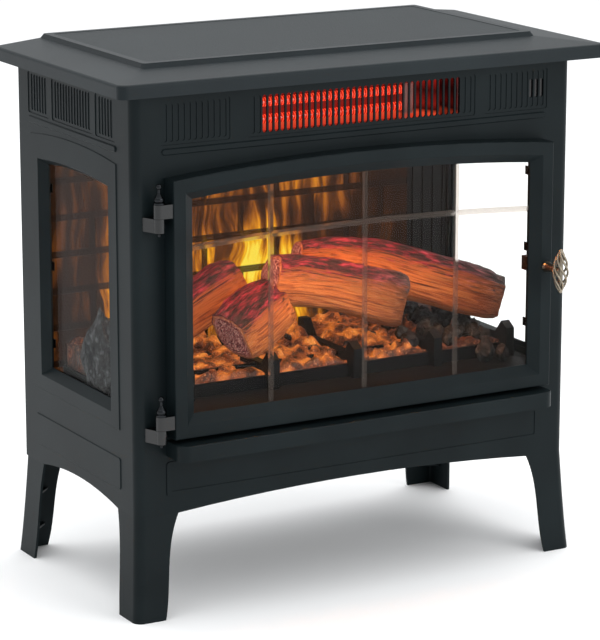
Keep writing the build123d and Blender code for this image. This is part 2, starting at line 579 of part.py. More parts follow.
# ---------------------------------------------------------------- hinges
BRACKET_BASE = (-266.0, -246.5)
STRAP_T = 6.0

for hinge_name, knuckle_z in HINGE_Z.items():
    with BuildPart() as hinge_strap:
        with BuildSketch(Plane.XY.offset(knuckle_z + DOOR_CLEAR)):
            with Locations((PIN_X, PIN_Y)):
                Circle(KNUCKLE_R)
            with Locations(((PIN_X - DOOR_X) / 2, PIN_Y - KNUCKLE_R + STRAP_T / 2)):
                Rectangle(abs(PIN_X + DOOR_X), STRAP_T)
            with Locations((PIN_X, PIN_Y)):
                Circle(PIN_R + PIN_CLEAR, mode=Mode.SUBTRACT)
        extrude(amount=KNUCKLE_H)
    hinge_strap.part.label = f"{hinge_name}_hinge_strap"
    export_step(hinge_strap.part, f"parts/{hinge_name}_hinge_strap.step")

    with BuildPart() as hinge_bracket:
        with BuildSketch(Plane.XY.offset(knuckle_z - KNUCKLE_H)):
            with BuildLine():
                Polyline((BRACKET_BASE[0], FRONT), (BRACKET_BASE[1], FRONT), (PIN_X + KNUCKLE_R, PIN_Y),
                         (PIN_X - KNUCKLE_R, PIN_Y), close=True)
            make_face()
            with Locations((PIN_X, PIN_Y)):
                Circle(KNUCKLE_R)
                Circle(PIN_R, mode=Mode.SUBTRACT)
        extrude(amount=KNUCKLE_H)
    hinge_bracket.part.label = f"{hinge_name}_hinge_bracket"
    export_step(hinge_bracket.part, f"parts/{hinge_name}_hinge_bracket.step")

    # the pin carries a turned finial above the strap and a small button under the bracket
    with BuildPart() as hinge_pin:
        seat = knuckle_z + KNUCKLE_H + 2 * DOOR_CLEAR
        foot = knuckle_z - KNUCKLE_H
        with BuildSketch(Plane(origin=(PIN_X, PIN_Y, 0), x_dir=(1, 0, 0), z_dir=(0, -1, 0))):
            with BuildLine():
                Polyline((0, foot - 5.0), (1.6, foot - 4.4), (2.6, foot - 2.0), (4.2, foot), (PIN_R, foot),
                         (PIN_R, seat), (5.9, seat), (5.9, seat + 1.6), (4.6, seat + 2.6))
                ThreePointArc((4.6, seat + 2.6), (5.3, seat + 5.2), (4.0, seat + 8.0))
                Polyline((4.0, seat + 8.0), (1.7, seat + 12.4), (1.7, seat + 16.0))
                ThreePointArc((1.7, seat + 16.0), (3.2, seat + 19.0), (0.5, seat + 22.0))
                Polyline((0.5, seat + 22.0), (0, seat + 22.0), (0, foot - 5.0))
            make_face()
        revolve(axis=Axis((PIN_X, PIN_Y, 0), (0, 0, 1)))
    hinge_pin.part.label = f"{hinge_name}_hinge_pin"
    export_step(hinge_pin.part, f"parts/{hinge_name}_hinge_pin.step")

# ---------------------------------------------------------------- magnetic catch
CATCH_Z, CATCH_H = 346.0, 16.0

with BuildPart() as door_magnet:
    add(box_between((221.0, FRONT, CATCH_Z - CATCH_H / 2), (MOUTH_X, FRONT + 11, CATCH_Z + CATCH_H / 2)))
    add(box_between((MOUTH_X, FRONT + WALL, CATCH_Z - CATCH_H / 2),
                    (MOUTH_X + 12, FRONT + 11, CATCH_Z + CATCH_H / 2)))
door_magnet.part.label = "door_magnet"
export_step(door_magnet.part, "parts/door_magnet.step")

with BuildPart() as door_strike_plate:
    add(box_between((222.0, GLASS_Y, CATCH_Z - 7), (236.0, GLASS_Y + 1.6, CATCH_Z + 7)))
    add(box_between((222.0, GLASS_Y + 1.6, CATCH_Z - 7), (230.0, FRONT - 0.6, CATCH_Z + 7)))
door_strike_plate.part.label = "door_strike_plate"
export_step(door_strike_plate.part, "parts/door_strike_plate.step")

# ---------------------------------------------------------------- handle
with BuildPart() as handle_stem:
    with BuildSketch(Plane.YZ.offset(HANDLE_X)):
        with BuildLine():
            Polyline((DOOR_FACE, HANDLE_Z), (DOOR_FACE, HANDLE_Z + 6.3), (DOOR_FACE - 1.5, HANDLE_Z + 6.3))
            Spline((DOOR_FACE - 1.5, HANDLE_Z + 6.3), (DOOR_FACE - 6, HANDLE_Z + 5.2),
                   (DOOR_FACE - 14, HANDLE_Z + 4.6), (DOOR_FACE - 21, HANDLE_Z + 4.0))
            Polyline((DOOR_FACE - 21, HANDLE_Z + 4.0), (CAGE_Y, HANDLE_Z + 4.0), (CAGE_Y, HANDLE_Z),
                     (DOOR_FACE, HANDLE_Z))
        make_face()
    revolve(axis=Axis((HANDLE_X, 0, HANDLE_Z), (0, 1, 0)))
    # core rod inside the cage
    with Locations((HANDLE_X, CAGE_Y, HANDLE_Z)):
        Cylinder(2.4, CAGE_H - 4 * CAGE_END_R)
handle_stem.part.label = "handle_stem"
export_step(handle_stem.part, "parts/handle_stem.step")


def cage_point(start, share):
    """One point of a cage wire; share runs from 0 at the foot of the cage to 1 at its top."""
    radius = CAGE_R * sin(pi * (0.06 + 0.88 * share)) ** 0.75
    angle = start - 2 * pi * WIRE_TURN * share
    height = (share - 0.5) * (CAGE_H - 1.7 * CAGE_END_R)
    return (HANDLE_X + radius * cos(angle), CAGE_Y + radius * sin(angle), HANDLE_Z + height)


with BuildPart() as handle_cage:
    for end in (-1, 1):
        with Locations((HANDLE_X, CAGE_Y, HANDLE_Z + end * (CAGE_H / 2 - CAGE_END_R))):
            Sphere(CAGE_END_R)
    for wire in range(WIRES):
        start = 2 * pi * wire / WIRES
        with BuildLine() as route:
            Spline(*[cage_point(start, step / 14) for step in range(15)])
        with BuildSketch(Plane(origin=route.line @ 0, z_dir=route.line % 0)):
            Circle(WIRE_R)
        sweep(path=route.line)
handle_cage.part.label = "handle_cage"
export_step(handle_cage.part, "parts/handle_cage.step")

# ---------------------------------------------------------------- firebox floor
LINER_X = SURROUND_X - DOOR_CLEAR
ROTOR_Y, ROTOR_Z, ROTOR_ROD_R = 143.0, 246.0, 3.0
ROTOR_END_X = 205.0

with BuildPart() as firebox_floor:
    add(box_between((-LINER_X, FRONT + WALL, FLOOR_Z - 3), (LINER_X, 160.0, FLOOR_Z)))
    for edge_y in (FRONT + WALL, 158.0):
        add(box_between((-LINER_X + 4, edge_y, PAN_Z + PAN_T), (LINER_X - 4, edge_y + 2, FLOOR_Z - 3)))
    # upright tabs that carry the flame rotor's rod
    for tab_x in (-ROTOR_END_X - 2, ROTOR_END_X):
        add(box_between((tab_x, ROTOR_Y - 10, FLOOR_Z), (tab_x + 2, ROTOR_Y + 10, ROTOR_Z + 10)))
    with Locations(Plane.YZ * Location((ROTOR_Y, ROTOR_Z, 0))):
        Cylinder(ROTOR_ROD_R + PIN_CLEAR, 2 * ROTOR_END_X + 8, mode=Mode.SUBTRACT)
firebox_floor.part.label = "firebox_floor"
export_step(firebox_floor.part, "parts/firebox_floor.step")

# ---------------------------------------------------------------- brick screen and ribbed liner
BRICK_PITCH = 95.0
EVEN_JOINT, ODD_JOINT = -67.5, -20.0
FIRST_COURSE = 233.7
MORTAR_DEEP = 1.2
RIB_PITCH = 14.0
screen_face = Plane.XZ.offset(-SCREEN_Y)

with BuildPart() as brick_screen:
    add(box_between((SCREEN_LEFT, SCREEN_Y, FLOOR_Z), (SCREEN_RIGHT, SCREEN_Y + SCREEN_T, ROOF_Z)))
    courses = [FIRST_COURSE + BRICK_H * row for row in range(7)]
    with BuildSketch(screen_face):
        for row, low_z in enumerate(courses):
            with Locations(((SCREEN_LEFT + SCREEN_RIGHT) / 2, low_z)):
                Rectangle(SCREEN_RIGHT - SCREEN_LEFT, MORTAR)
            joint_x = EVEN_JOINT if row % 2 == 0 else ODD_JOINT
            for step in range(-3, 4):
                x = joint_x + step * BRICK_PITCH
                if SCREEN_LEFT + MORTAR < x < SCREEN_RIGHT - MORTAR and low_z + BRICK_H < ROOF_Z:
                    with Locations((x, low_z + BRICK_H / 2)):
                        Rectangle(MORTAR, BRICK_H)
    extrude(amount=-MORTAR_DEEP, mode=Mode.SUBTRACT)
brick_screen.part.label = "brick_screen"
export_step(brick_screen.part, "parts/brick_screen.step")

with BuildPart() as ribbed_liner:
    add(box_between((SCREEN_RIGHT, SCREEN_Y, FLOOR_Z), (LINER_X, SCREEN_Y + WALL, ROOF_Z)))
    with BuildSketch(screen_face):
        for rib in range(4):
            with Locations((SCREEN_RIGHT + 8 + rib * RIB_PITCH, (FLOOR_Z + ROOF_Z) / 2)):
                Rectangle(2.0, ROOF_Z - FLOOR_Z)
    extrude(amount=2.0)
ribbed_liner.part.label = "ribbed_liner"
export_step(ribbed_liner.part, "parts/ribbed_liner.step")

with BuildPart() as firebox_roof:
    add(box_between((-LINER_X, FRONT + WALL, ROOF_Z), (LINER_X, 160.0, ROOF_Z + 2)))
    # warm, spent air from the lamps leaves through a row of slots at the rear
    with BuildSketch(Plane.XY.offset(ROOF_Z)):
        with Locations((0, 140)):
            with GridLocations(60, 1, 7, 1):
                SlotOverall(44, 6)
    extrude(amount=2, mode=Mode.SUBTRACT)
firebox_roof.part.label = "firebox_roof"
export_step(firebox_roof.part, "parts/firebox_roof.step")

# ---------------------------------------------------------------- ember tray, bed and lamps
TRAY_X, TRAY_BACK = 255.0, 108.0

with BuildPart() as ember_tray:
    add(box_between((-TRAY_X, TRAY_FRONT, FLOOR_Z), (TRAY_X, TRAY_BACK, TRAY_TOP)))
    inside = box_between((-TRAY_X + TRAY_WALL, TRAY_FRONT + TRAY_WALL, FLOOR_Z + 1.5),
                         (TRAY_X - TRAY_WALL, TRAY_BACK - TRAY_WALL, TRAY_TOP))
    add(inside, mode=Mode.SUBTRACT)
ember_tray.part.label = "ember_tray"
export_step(ember_tray.part, "parts/ember_tray.step")

with BuildPart() as led_boards:
    board_low = FLOOR_Z + 1.5
    add(box_between((-220.0, 10.0, board_low), (220.0, 60.0, board_low + 1.6)))
    add(box_between((-190.0, 126.0, FLOOR_Z), (190.0, 154.0, FLOOR_Z + 1.6)))
    for board_y, top_z, lamps in ((22.0, board_low + 1.6, 9), (48.0, board_low + 1.6, 9),
                                  (140.0, FLOOR_Z + 1.6, 8)):
        with Locations((0, board_y, top_z + 0.7)):
            with GridLocations(46, 1, lamps, 1):
                Box(5.0, 5.0, 1.4)
led_boards.part.label = "led_boards"
export_step(led_boards.part, "parts/led_boards.step")

with BuildPart() as ember_bed:
    add(box_between((-TRAY_X + TRAY_WALL, TRAY_FRONT + TRAY_WALL, FLOOR_Z + 6),
                    (TRAY_X - TRAY_WALL, TRAY_BACK - TRAY_WALL, TRAY_TOP)))
ember_bed.part.label = "ember_bed"
export_step(ember_bed.part, "parts/ember_bed.step")

# ---------------------------------------------------------------- grate
BAR_X = (-177.0, -70.0, 37.0, 144.0, 243.0)
BAR_W = 11.0
GRATE_ROD_R = 3.0

with BuildPart() as grate:
    for bar_x in BAR_X:
        with BuildSketch(Plane.YZ.offset(bar_x - BAR_W / 2)):
            with BuildLine():
                Polyline(
                    (TRAY_FRONT, TRAY_TOP), (TRAY_FRONT, FLOOR_Z), (-55.0, FLOOR_Z), (-55.0, 254.0),
                    (-43.5, 261.0), (-31.0, 246.0), (50.0, 246.0), (64.0, 265.0), (75.0, 265.0),
                    (75.0, 252.0), (60.0, 236.0), (60.0, TRAY_TOP), close=True,
                )
            make_face()
        extrude(amount=BAR_W)
    for rod_y in (-16.0, 38.0):
        with Locations(Plane.YZ * Location((rod_y, 241.0, (BAR_X[0] + BAR_X[-1]) / 2))):
            Cylinder(GRATE_ROD_R, BAR_X[-1] - BAR_X[0])
grate.part.label = "grate"
export_step(grate.part, "parts/grate.step")

# ---------------------------------------------------------------- logs: two ends and a radius at each end
LOGS = {
    "log_left_front": ((-101.0, -28.0, 282.0, 26.0), (-20.0, 62.0, 292.0, 18.0)),
    "log_left_back": ((-205.0, 22.0, 276.0, 27.0), (-78.0, 68.0, 322.0, 25.0)),
    "log_centre": ((-46.0, -22.0, 326.0, 22.0), (132.0, -20.0, 280.0, 28.0)),
    "log_right": ((26.0, 62.0, 333.0, 23.0), (236.0, -12.0, 291.0, 25.0)),
}
LOG_SIDES = 14

for log_name, ((x0, y0, z0, r0), (x1, y1, z1, r1)) in LOGS.items():
    run = Vector(x1 - x0, y1 - y0, z1 - z0)
    with BuildPart() as log:
        with BuildSketch(Plane(origin=(x0, y0, z0), z_dir=run)):
            RegularPolygon(r0, LOG_SIDES)
        with BuildSketch(Plane(origin=(x1, y1, z1), z_dir=run)):
            RegularPolygon(r1, LOG_SIDES)
        loft()
    log.part.label = log_name
    export_step(log.part, f"parts/{log_name}.step")

# lumps of coal that fill the front corners beside the logs
COAL = (
    ((-232.0, -68.0, FLOOR_Z), 23.0, 12.0, 92.0),
    ((-196.0, -72.0, FLOOR_Z), 12.0, 6.0, 26.0),
    ((204.0, -62.0, FLOOR_Z), 14.0, 8.0, 30.0),
)
with BuildPart() as coal_lumps:
    for foot, foot_r, head_r, height in COAL:
        with BuildSketch(Plane.XY.offset(foot[2])):
            with Locations(foot[:2]):
                RegularPolygon(foot_r, 7)
        with BuildSketch(Plane.XY.offset(foot[2] + height)):
            with Locations(foot[:2]):
                RegularPolygon(head_r, 7)
        loft()
coal_lumps.part.label = "coal_lumps"
export_step(coal_lumps.part, "parts/coal_lumps.step")

# ---------------------------------------------------------------- flame rotor and its motor
FIN_W, FIN_L, FIN_T, FIN_PITCH, FIN_STATIONS = 9.0, 14.0, 0.8, 18.0, 21

with BuildPart() as flame_rotor:
    with Locations(Plane.YZ * Location((ROTOR_Y, ROTOR_Z, 3))):
        Cylinder(ROTOR_ROD_R, 2 * ROTOR_END_X + 14)
    for station in range(FIN_STATIONS):
        fin_x = (station - (FIN_STATIONS - 1) / 2) * FIN_PITCH
        for fin in range(3):
            root = Location((fin_x, ROTOR_Y, ROTOR_Z), (fin * 120 + station * 37, 0, 0))
            with Locations(root * Location((0, 0, 2 + FIN_L / 2))):
                Box(FIN_W, FIN_T, FIN_L)
flame_rotor.part.label = "flame_rotor"
export_step(flame_rotor.part, "parts/flame_rotor.step")

with BuildPart() as flame_motor:
    motor_x = ROTOR_END_X + 2
    with Locations(Plane.YZ * Location((ROTOR_Y, ROTOR_Z, motor_x + 9))):
        Cylinder(16.0, 18.0)
    with Locations(Plane.YZ * Location((ROTOR_Y, ROTOR_Z, motor_x + 5))):
        Cylinder(ROTOR_ROD_R + PIN_CLEAR, 10.0, mode=Mode.SUBTRACT)
    with Locations((motor_x + 1, ROTOR_Y, ROTOR_Z - 12)):
        Box(2.0, 18.0, 16.0)
flame_motor.part.label = "flame_motor"
export_step(flame_motor.part, "parts/flame_motor.step")

# ---------------------------------------------------------------- infrared heater
HEATER_LEFT, HEATER_RIGHT, BOX_RIGHT = -136.0, 108.0, 128.0
TUBE_LEFT, TUBE_RIGHT, TUBE_Y, TUBE_R = -126.0, 72.0, -92.0, 5.0
TUBE_Z = (536.5, 555.0)
HEATER_LOW, HEATER_HIGH, HEATER_BACK = 519.0, 576.0, -52.0
SHEET = 1.0

with BuildPart() as quartz_tubes:
    for tube_z in TUBE_Z:
        with Locations(Plane.YZ * Location((TUBE_Y, tube_z, (TUBE_LEFT + TUBE_RIGHT) / 2))):
            Cylinder(TUBE_R, TUBE_RIGHT - TUBE_LEFT)
quartz_tubes.part.label = "quartz_tubes"
export_step(quartz_tubes.part, "parts/quartz_tubes.step")

with BuildPart() as tube_holders:
    for low_x in (TUBE_LEFT - 8, TUBE_RIGHT - 3):
        add(box_between((low_x, TUBE_Y - 8, TUBE_Z[0] - 8), (low_x + 11, TUBE_Y + 8, TUBE_Z[1] + 8)))
    for tube_z in TUBE_Z:
        with Locations(Plane.YZ * Location((TUBE_Y, tube_z, (TUBE_LEFT + TUBE_RIGHT) / 2))):
            Cylinder(TUBE_R, TUBE_RIGHT - TUBE_LEFT, mode=Mode.SUBTRACT)
    # feet that stand on the floor of the heater box
    for low_x in (TUBE_LEFT - 8, TUBE_RIGHT - 3):
        add(box_between((low_x + 2, TUBE_Y - 5, HEATER_LOW + SHEET),
                        (low_x + 9, TUBE_Y + 5, TUBE_Z[0] - 8)))
tube_holders.part.label = "tube_holders"
export_step(tube_holders.part, "parts/tube_holders.step")

with BuildPart() as heater_reflector:
    # a sheet bent round the back of the tubes, with a flared right end
    with BuildSketch(Plane.XY.offset(HEATER_LOW + SHEET)):
        with BuildLine():
            Polyline((HEATER_LEFT + SHEET, -112.0), (HEATER_LEFT + SHEET, -72.0), (84.0, -72.0),
                     (HEATER_RIGHT - 1, -112.0), (HEATER_RIGHT - 2.2, -112.4), (83.4, -73.0),
                     (HEATER_LEFT + 2 * SHEET, -73.0), (HEATER_LEFT + 2 * SHEET, -112.0), close=True)
        make_face()
    extrude(amount=HEATER_HIGH - HEATER_LOW - 2 * SHEET)
heater_reflector.part.label = "heater_reflector"
export_step(heater_reflector.part, "parts/heater_reflector.step")

with BuildPart() as heater_box:
    # floor, roof and two ends, open to the slots in front and to the blower behind
    for low_z in (HEATER_LOW, HEATER_HIGH - SHEET):
        add(box_between((HEATER_LEFT, FRONT + WALL, low_z), (BOX_RIGHT, HEATER_BACK, low_z + SHEET)))
    for low_x in (HEATER_LEFT, BOX_RIGHT - SHEET):
        add(box_between((low_x, FRONT + WALL, HEATER_LOW), (low_x + SHEET, HEATER_BACK, HEATER_HIGH)))
    # feet down to the firebox roof
    for foot_x in (-120.0, 110.0):
        add(box_between((foot_x, -110.0, ROOF_Z + 2), (foot_x + 10, -60.0, HEATER_LOW)))
heater_box.part.label = "heater_box"
export_step(heater_box.part, "parts/heater_box.step")

with BuildPart() as thermal_cutoff:
    with Locations((-60.0, -66.0, HEATER_HIGH + 1.5)):
        Cylinder(8.0, 3.0)
        with Locations((0, 0, 2.0)):
            Cylinder(4.5, 3.0)
    for side in (-1, 1):
        with Locations((-60.0 + side * 10, -66.0, HEATER_HIGH + 0.5)):
            Box(8.0, 6.0, 1.0)
thermal_cutoff.part.label = "thermal_cutoff"
export_step(thermal_cutoff.part, "parts/thermal_cutoff.step")

# ---------------------------------------------------------------- crossflow blower
FAN_Y, FAN_Z, FAN_R, FAN_L = 0.0, 544.0, 21.0, 190.0
FAN_LEFT = -110.0
BLADES, BLADE_T, BLADE_W = 24, 0.8, 6.0
SHAFT_R = 2.5
HOUSING_END_T = 1.5

with BuildPart() as blower_wheel:
    middle_x = FAN_LEFT + FAN_L / 2
    with Locations(Plane.YZ * Location((FAN_Y, FAN_Z, middle_x))):
        with PolarLocations(FAN_R - BLADE_W / 2, BLADES):
            Box(BLADE_W, BLADE_T, FAN_L)
        for ring in (-1, 0, 1):
            with Locations((0, 0, ring * (FAN_L / 2 - 1))):
                Cylinder(FAN_R, 2.0)
        with Locations((0, 0, 5)):
            Cylinder(SHAFT_R, FAN_L + 24)
blower_wheel.part.label = "blower_wheel"
export_step(blower_wheel.part, "parts/blower_wheel.step")

with BuildPart() as blower_housing:
    end_low, end_high = FAN_LEFT - 4, FAN_LEFT + FAN_L + 4
    # two end plates, joined by a scroll sheet over the wheel and a throat below it
    for end_x in (end_low, end_high - HOUSING_END_T):
        add(box_between((end_x, -34.0, ROOF_Z + 2), (end_x + HOUSING_END_T, 34.0, 578.0)))
    add(box_between((end_low, -52.0, 576.5), (end_high, 34.0, 578.0)))
    add(box_between((end_low, 32.5, 530.0), (end_high, 34.0, 578.0)))
    add(box_between((end_low, -52.0, 519.0), (end_high, -20.0, 520.0)))
    with Locations(Plane.YZ * Location((FAN_Y, FAN_Z, (end_low + end_high) / 2))):
        Cylinder(SHAFT_R + PIN_CLEAR, end_high - end_low + 2, mode=Mode.SUBTRACT)
blower_housing.part.label = "blower_housing"
export_step(blower_housing.part, "parts/blower_housing.step")

with BuildPart() as blower_motor:
    motor_start = end_high
    with Locations(Plane.YZ * Location((FAN_Y, FAN_Z, motor_start + 14))):
        Cylinder(22.0, 28.0)
    with Locations(Plane.YZ * Location((FAN_Y, FAN_Z, motor_start + 8))):
        Cylinder(SHAFT_R + PIN_CLEAR, 16.0, mode=Mode.SUBTRACT)
blower_motor.part.label = "blower_motor"
export_step(blower_motor.part, "parts/blower_motor.step")

# ---------------------------------------------------------------- rear controls
BUTTON_X = (100.0, 118.0, 136.0, 154.0)
BUTTON_NAMES = ("power_button", "heat_button", "flame_button", "timer_button")
BUTTON_R, BUTTON_PROUD, BUTTON_TRAVEL = 5.0, 2.4, 1.2
BEZEL_T = 2.0
DISPLAY_X, DISPLAY_W, DISPLAY_H = 190.0, 34.0, 16.0
BOARD_Y, BOARD_T, BOARD_H = BACK - 13.0, 1.6, 34.0

with BuildPart() as control_bezel:
    extrude(panel(rear_face, CONTROL_X - CONTROL_W / 2 - 5, CONTROL_X + CONTROL_W / 2 + 5,
                  CONTROL_Z - CONTROL_H / 2 - 5, CONTROL_Z + CONTROL_H / 2 + 5, 6), amount=-BEZEL_T)
    fillet(control_bezel.faces().sort_by(Axis.Y)[-1].edges(), 1.0)
    extrude(panel(rear_face, CONTROL_X - CONTROL_W / 2, CONTROL_X + CONTROL_W / 2,
                  CONTROL_Z - CONTROL_H / 2, CONTROL_Z + CONTROL_H / 2, 4), amount=WALL)
    with BuildSketch(rear_face.offset(-BEZEL_T)):
        for button_x in BUTTON_X:
            with Locations((button_x, CONTROL_Z)):
                Circle(BUTTON_R + DOOR_CLEAR)
        with Locations((DISPLAY_X, CONTROL_Z)):
            RectangleRounded(DISPLAY_W, DISPLAY_H, 1.5)
    extrude(amount=BEZEL_T + WALL, mode=Mode.SUBTRACT)
    # stand-offs that the board is screwed to
    for post_x in (CONTROL_X - CONTROL_W / 2 + 5, CONTROL_X + CONTROL_W / 2 - 5):
        with Locations(Plane.XZ * Location((post_x, CONTROL_Z - 12, -(BOARD_Y + BACK - WALL) / 2))):
            Cylinder(3.0, BACK - WALL - BOARD_Y)
control_bezel.part.label = "control_bezel"
export_step(control_bezel.part, "parts/control_bezel.step")

with BuildPart() as control_board:
    add(box_between((CONTROL_X - CONTROL_W / 2, BOARD_Y - BOARD_T, CONTROL_Z - BOARD_H / 2),
                    (CONTROL_X + CONTROL_W / 2, BOARD_Y, CONTROL_Z + BOARD_H / 2)))
    for button_x in BUTTON_X:
        with Locations((button_x, BOARD_Y + 1.5, CONTROL_Z)):
            Box(6.0, 3.0, 6.0)
    for chip_x, chip_w in ((110.0, 12.0), (160.0, 18.0)):
        with Locations((chip_x, BOARD_Y - 3.1, CONTROL_Z)):
            Box(chip_w, 3.0, 12.0)
control_board.part.label = "control_board"
export_step(control_board.part, "parts/control_board.step")

with BuildPart() as display_window:
    extrude(panel(rear_face.offset(-BEZEL_T + 0.4), DISPLAY_X - DISPLAY_W / 2, DISPLAY_X + DISPLAY_W / 2,
                  CONTROL_Z - DISPLAY_H / 2, CONTROL_Z + DISPLAY_H / 2, 1.5), amount=2.0)
display_window.part.label = "display_window"
export_step(display_window.part, "parts/display_window.step")

for button_name, button_x in zip(BUTTON_NAMES, BUTTON_X):
    with BuildPart() as button:
        stem_y = BOARD_Y + 3.0 + BUTTON_TRAVEL + DOOR_CLEAR
        with BuildSketch(Plane.XZ.offset(-(BACK + BEZEL_T + BUTTON_PROUD))):
            with Locations((button_x, CONTROL_Z)):
                Circle(BUTTON_R)
        extrude(amount=BACK + BEZEL_T + BUTTON_PROUD - stem_y)
        fillet(button.edges().filter_by(GeomType.CIRCLE).sort_by(Axis.Y)[-1], 1.0)
    button.part.label = button_name
    export_step(button.part, f"parts/{button_name}.step")

with BuildPart() as ir_receiver:
    add(box_between((SENSOR_X - 14, FRONT + WALL, SENSOR_LOW - 6),
                    (SENSOR_X + 14, FRONT + WALL + 6, SENSOR_HIGH + 6)))
ir_receiver.part.label = "ir_receiver"
export_step(ir_receiver.part, "parts/ir_receiver.step")

with BuildPart() as cord_inlet:
    with BuildSketch(rear_face):
        with Locations((INLET_X, INLET_Z)):
            Circle(INLET_R)
    extrude(amount=WALL)
    with BuildSketch(rear_face):
        with Locations((INLET_X, INLET_Z)):
            Circle(INLET_R + 4)
    extrude(amount=-3.0)
    fillet(cord_inlet.edges().filter_by(GeomType.CIRCLE).sort_by(Axis.Y)[-1], 1.2)
    with BuildSketch(rear_face.offset(-3.0)):
        with Locations((INLET_X, INLET_Z)):
            Circle(3.6)
    extrude(amount=3.0 + WALL, mode=Mode.SUBTRACT)
cord_inlet.part.label = "cord_inlet"
export_step(cord_inlet.part, "parts/cord_inlet.step")
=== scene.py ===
import json
import math

import bmesh
import bpy
import numpy as np
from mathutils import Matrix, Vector, noise


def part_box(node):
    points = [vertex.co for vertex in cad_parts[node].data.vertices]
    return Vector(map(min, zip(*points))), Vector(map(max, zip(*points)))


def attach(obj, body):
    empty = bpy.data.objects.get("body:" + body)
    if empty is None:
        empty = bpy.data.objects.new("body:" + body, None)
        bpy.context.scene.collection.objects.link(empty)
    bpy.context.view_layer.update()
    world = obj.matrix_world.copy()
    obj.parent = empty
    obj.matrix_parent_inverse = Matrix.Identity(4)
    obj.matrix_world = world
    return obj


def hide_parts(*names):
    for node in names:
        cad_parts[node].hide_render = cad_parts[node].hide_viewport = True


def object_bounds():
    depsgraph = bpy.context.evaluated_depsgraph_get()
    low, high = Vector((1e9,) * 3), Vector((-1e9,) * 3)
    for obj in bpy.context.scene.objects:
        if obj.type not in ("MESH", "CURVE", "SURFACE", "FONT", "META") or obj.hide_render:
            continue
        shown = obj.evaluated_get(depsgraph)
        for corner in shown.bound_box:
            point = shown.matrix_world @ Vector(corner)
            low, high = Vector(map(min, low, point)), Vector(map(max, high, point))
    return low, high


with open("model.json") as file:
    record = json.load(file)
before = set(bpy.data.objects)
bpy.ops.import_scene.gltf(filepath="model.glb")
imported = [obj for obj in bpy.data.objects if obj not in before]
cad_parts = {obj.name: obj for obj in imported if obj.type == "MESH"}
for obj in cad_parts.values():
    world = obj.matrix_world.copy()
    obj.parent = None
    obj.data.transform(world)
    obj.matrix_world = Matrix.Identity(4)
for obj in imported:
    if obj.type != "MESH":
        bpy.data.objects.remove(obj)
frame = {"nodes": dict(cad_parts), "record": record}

CAD_LOW, CAD_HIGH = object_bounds()
NODES = frame["nodes"]
MM = 0.001


# ---------------------------------------------------------------- node and colour helpers
def linear(code, alpha=1.0):
    """An sRGB hex colour as linear RGBA."""
    parts = [int(code[i:i + 2], 16) / 255 for i in (1, 3, 5)]
    return tuple(c / 12.92 if c <= 0.04045 else ((c + 0.055) / 1.055) ** 2.4 for c in parts) + (alpha,)


def add(tree, kind, inputs=None, stops=None, **settings):
    """Adds one node with its settings, its input values or links, and the stops of a ramp."""
    made = tree.nodes.new(kind)
    for name, value in settings.items():
        setattr(made, name, value)
    for name, value in (inputs or {}).items():
        if isinstance(value, bpy.types.NodeSocket):
            tree.links.new(value, made.inputs[name])
        else:
            made.inputs[name].default_value = value
    if stops:
        elements = made.color_ramp.elements
        while len(elements) < len(stops):
            elements.new(0.5)
        for element, (place, code) in zip(elements, stops):
            element.position = place
            element.color = linear(code)
    return made


def finish_of(name, **sockets):
    """A new material with one Principled shader, and the sockets that are the same all over."""
    material = bpy.data.materials.new(name)
    material.use_nodes = True
    tree = material.node_tree
    tree.nodes.clear()
    values = {key.replace("_", " "): value for key, value in sockets.items()}
    shader = add(tree, "ShaderNodeBsdfPrincipled", values)
    add(tree, "ShaderNodeOutputMaterial", {"Surface": shader.outputs[0]})
    return material, tree, shader


# ---------------------------------------------------------------- finishes
CLOUD_SIZE = 90     # millimetres across the faint clouds in a powder coat
PEBBLE_SIZE = 2.6   # millimetres across one pebble of the top's pressed field


def powder_coat(name, dark, light, grain_mm, depth_mm, roughness, specular):
    """Polyester powder baked on sheet steel: matt, with fine orange peel and a faint cloudiness."""
    material, tree, shader = finish_of(name, Specular_IOR_Level=specular)
    place = add(tree, "ShaderNodeTexCoord").outputs["Object"]
    cloudy = add(tree, "ShaderNodeTexNoise", {"Vector": place, "Scale": 1 / (CLOUD_SIZE * MM), "Detail": 3.0})
    cloud = add(tree, "ShaderNodeValToRGB", {"Fac": cloudy.outputs["Fac"]},
                stops=((0.3, dark), (0.75, light)))
    tree.links.new(cloud.outputs[0], shader.inputs["Base Color"])
    peel = add(tree, "ShaderNodeTexNoise", {"Vector": place, "Scale": 1 / (grain_mm * MM), "Detail": 3.0})
    rough = add(tree, "ShaderNodeMapRange", {
        "Value": peel.outputs["Fac"], "To Min": roughness - 0.06, "To Max": roughness + 0.06,
    })
    tree.links.new(rough.outputs[0], shader.inputs["Roughness"])
    bump = add(tree, "ShaderNodeBump", {"Height": peel.outputs["Fac"], "Distance": depth_mm * MM})
    tree.links.new(bump.outputs[0], shader.inputs["Normal"])
    return material


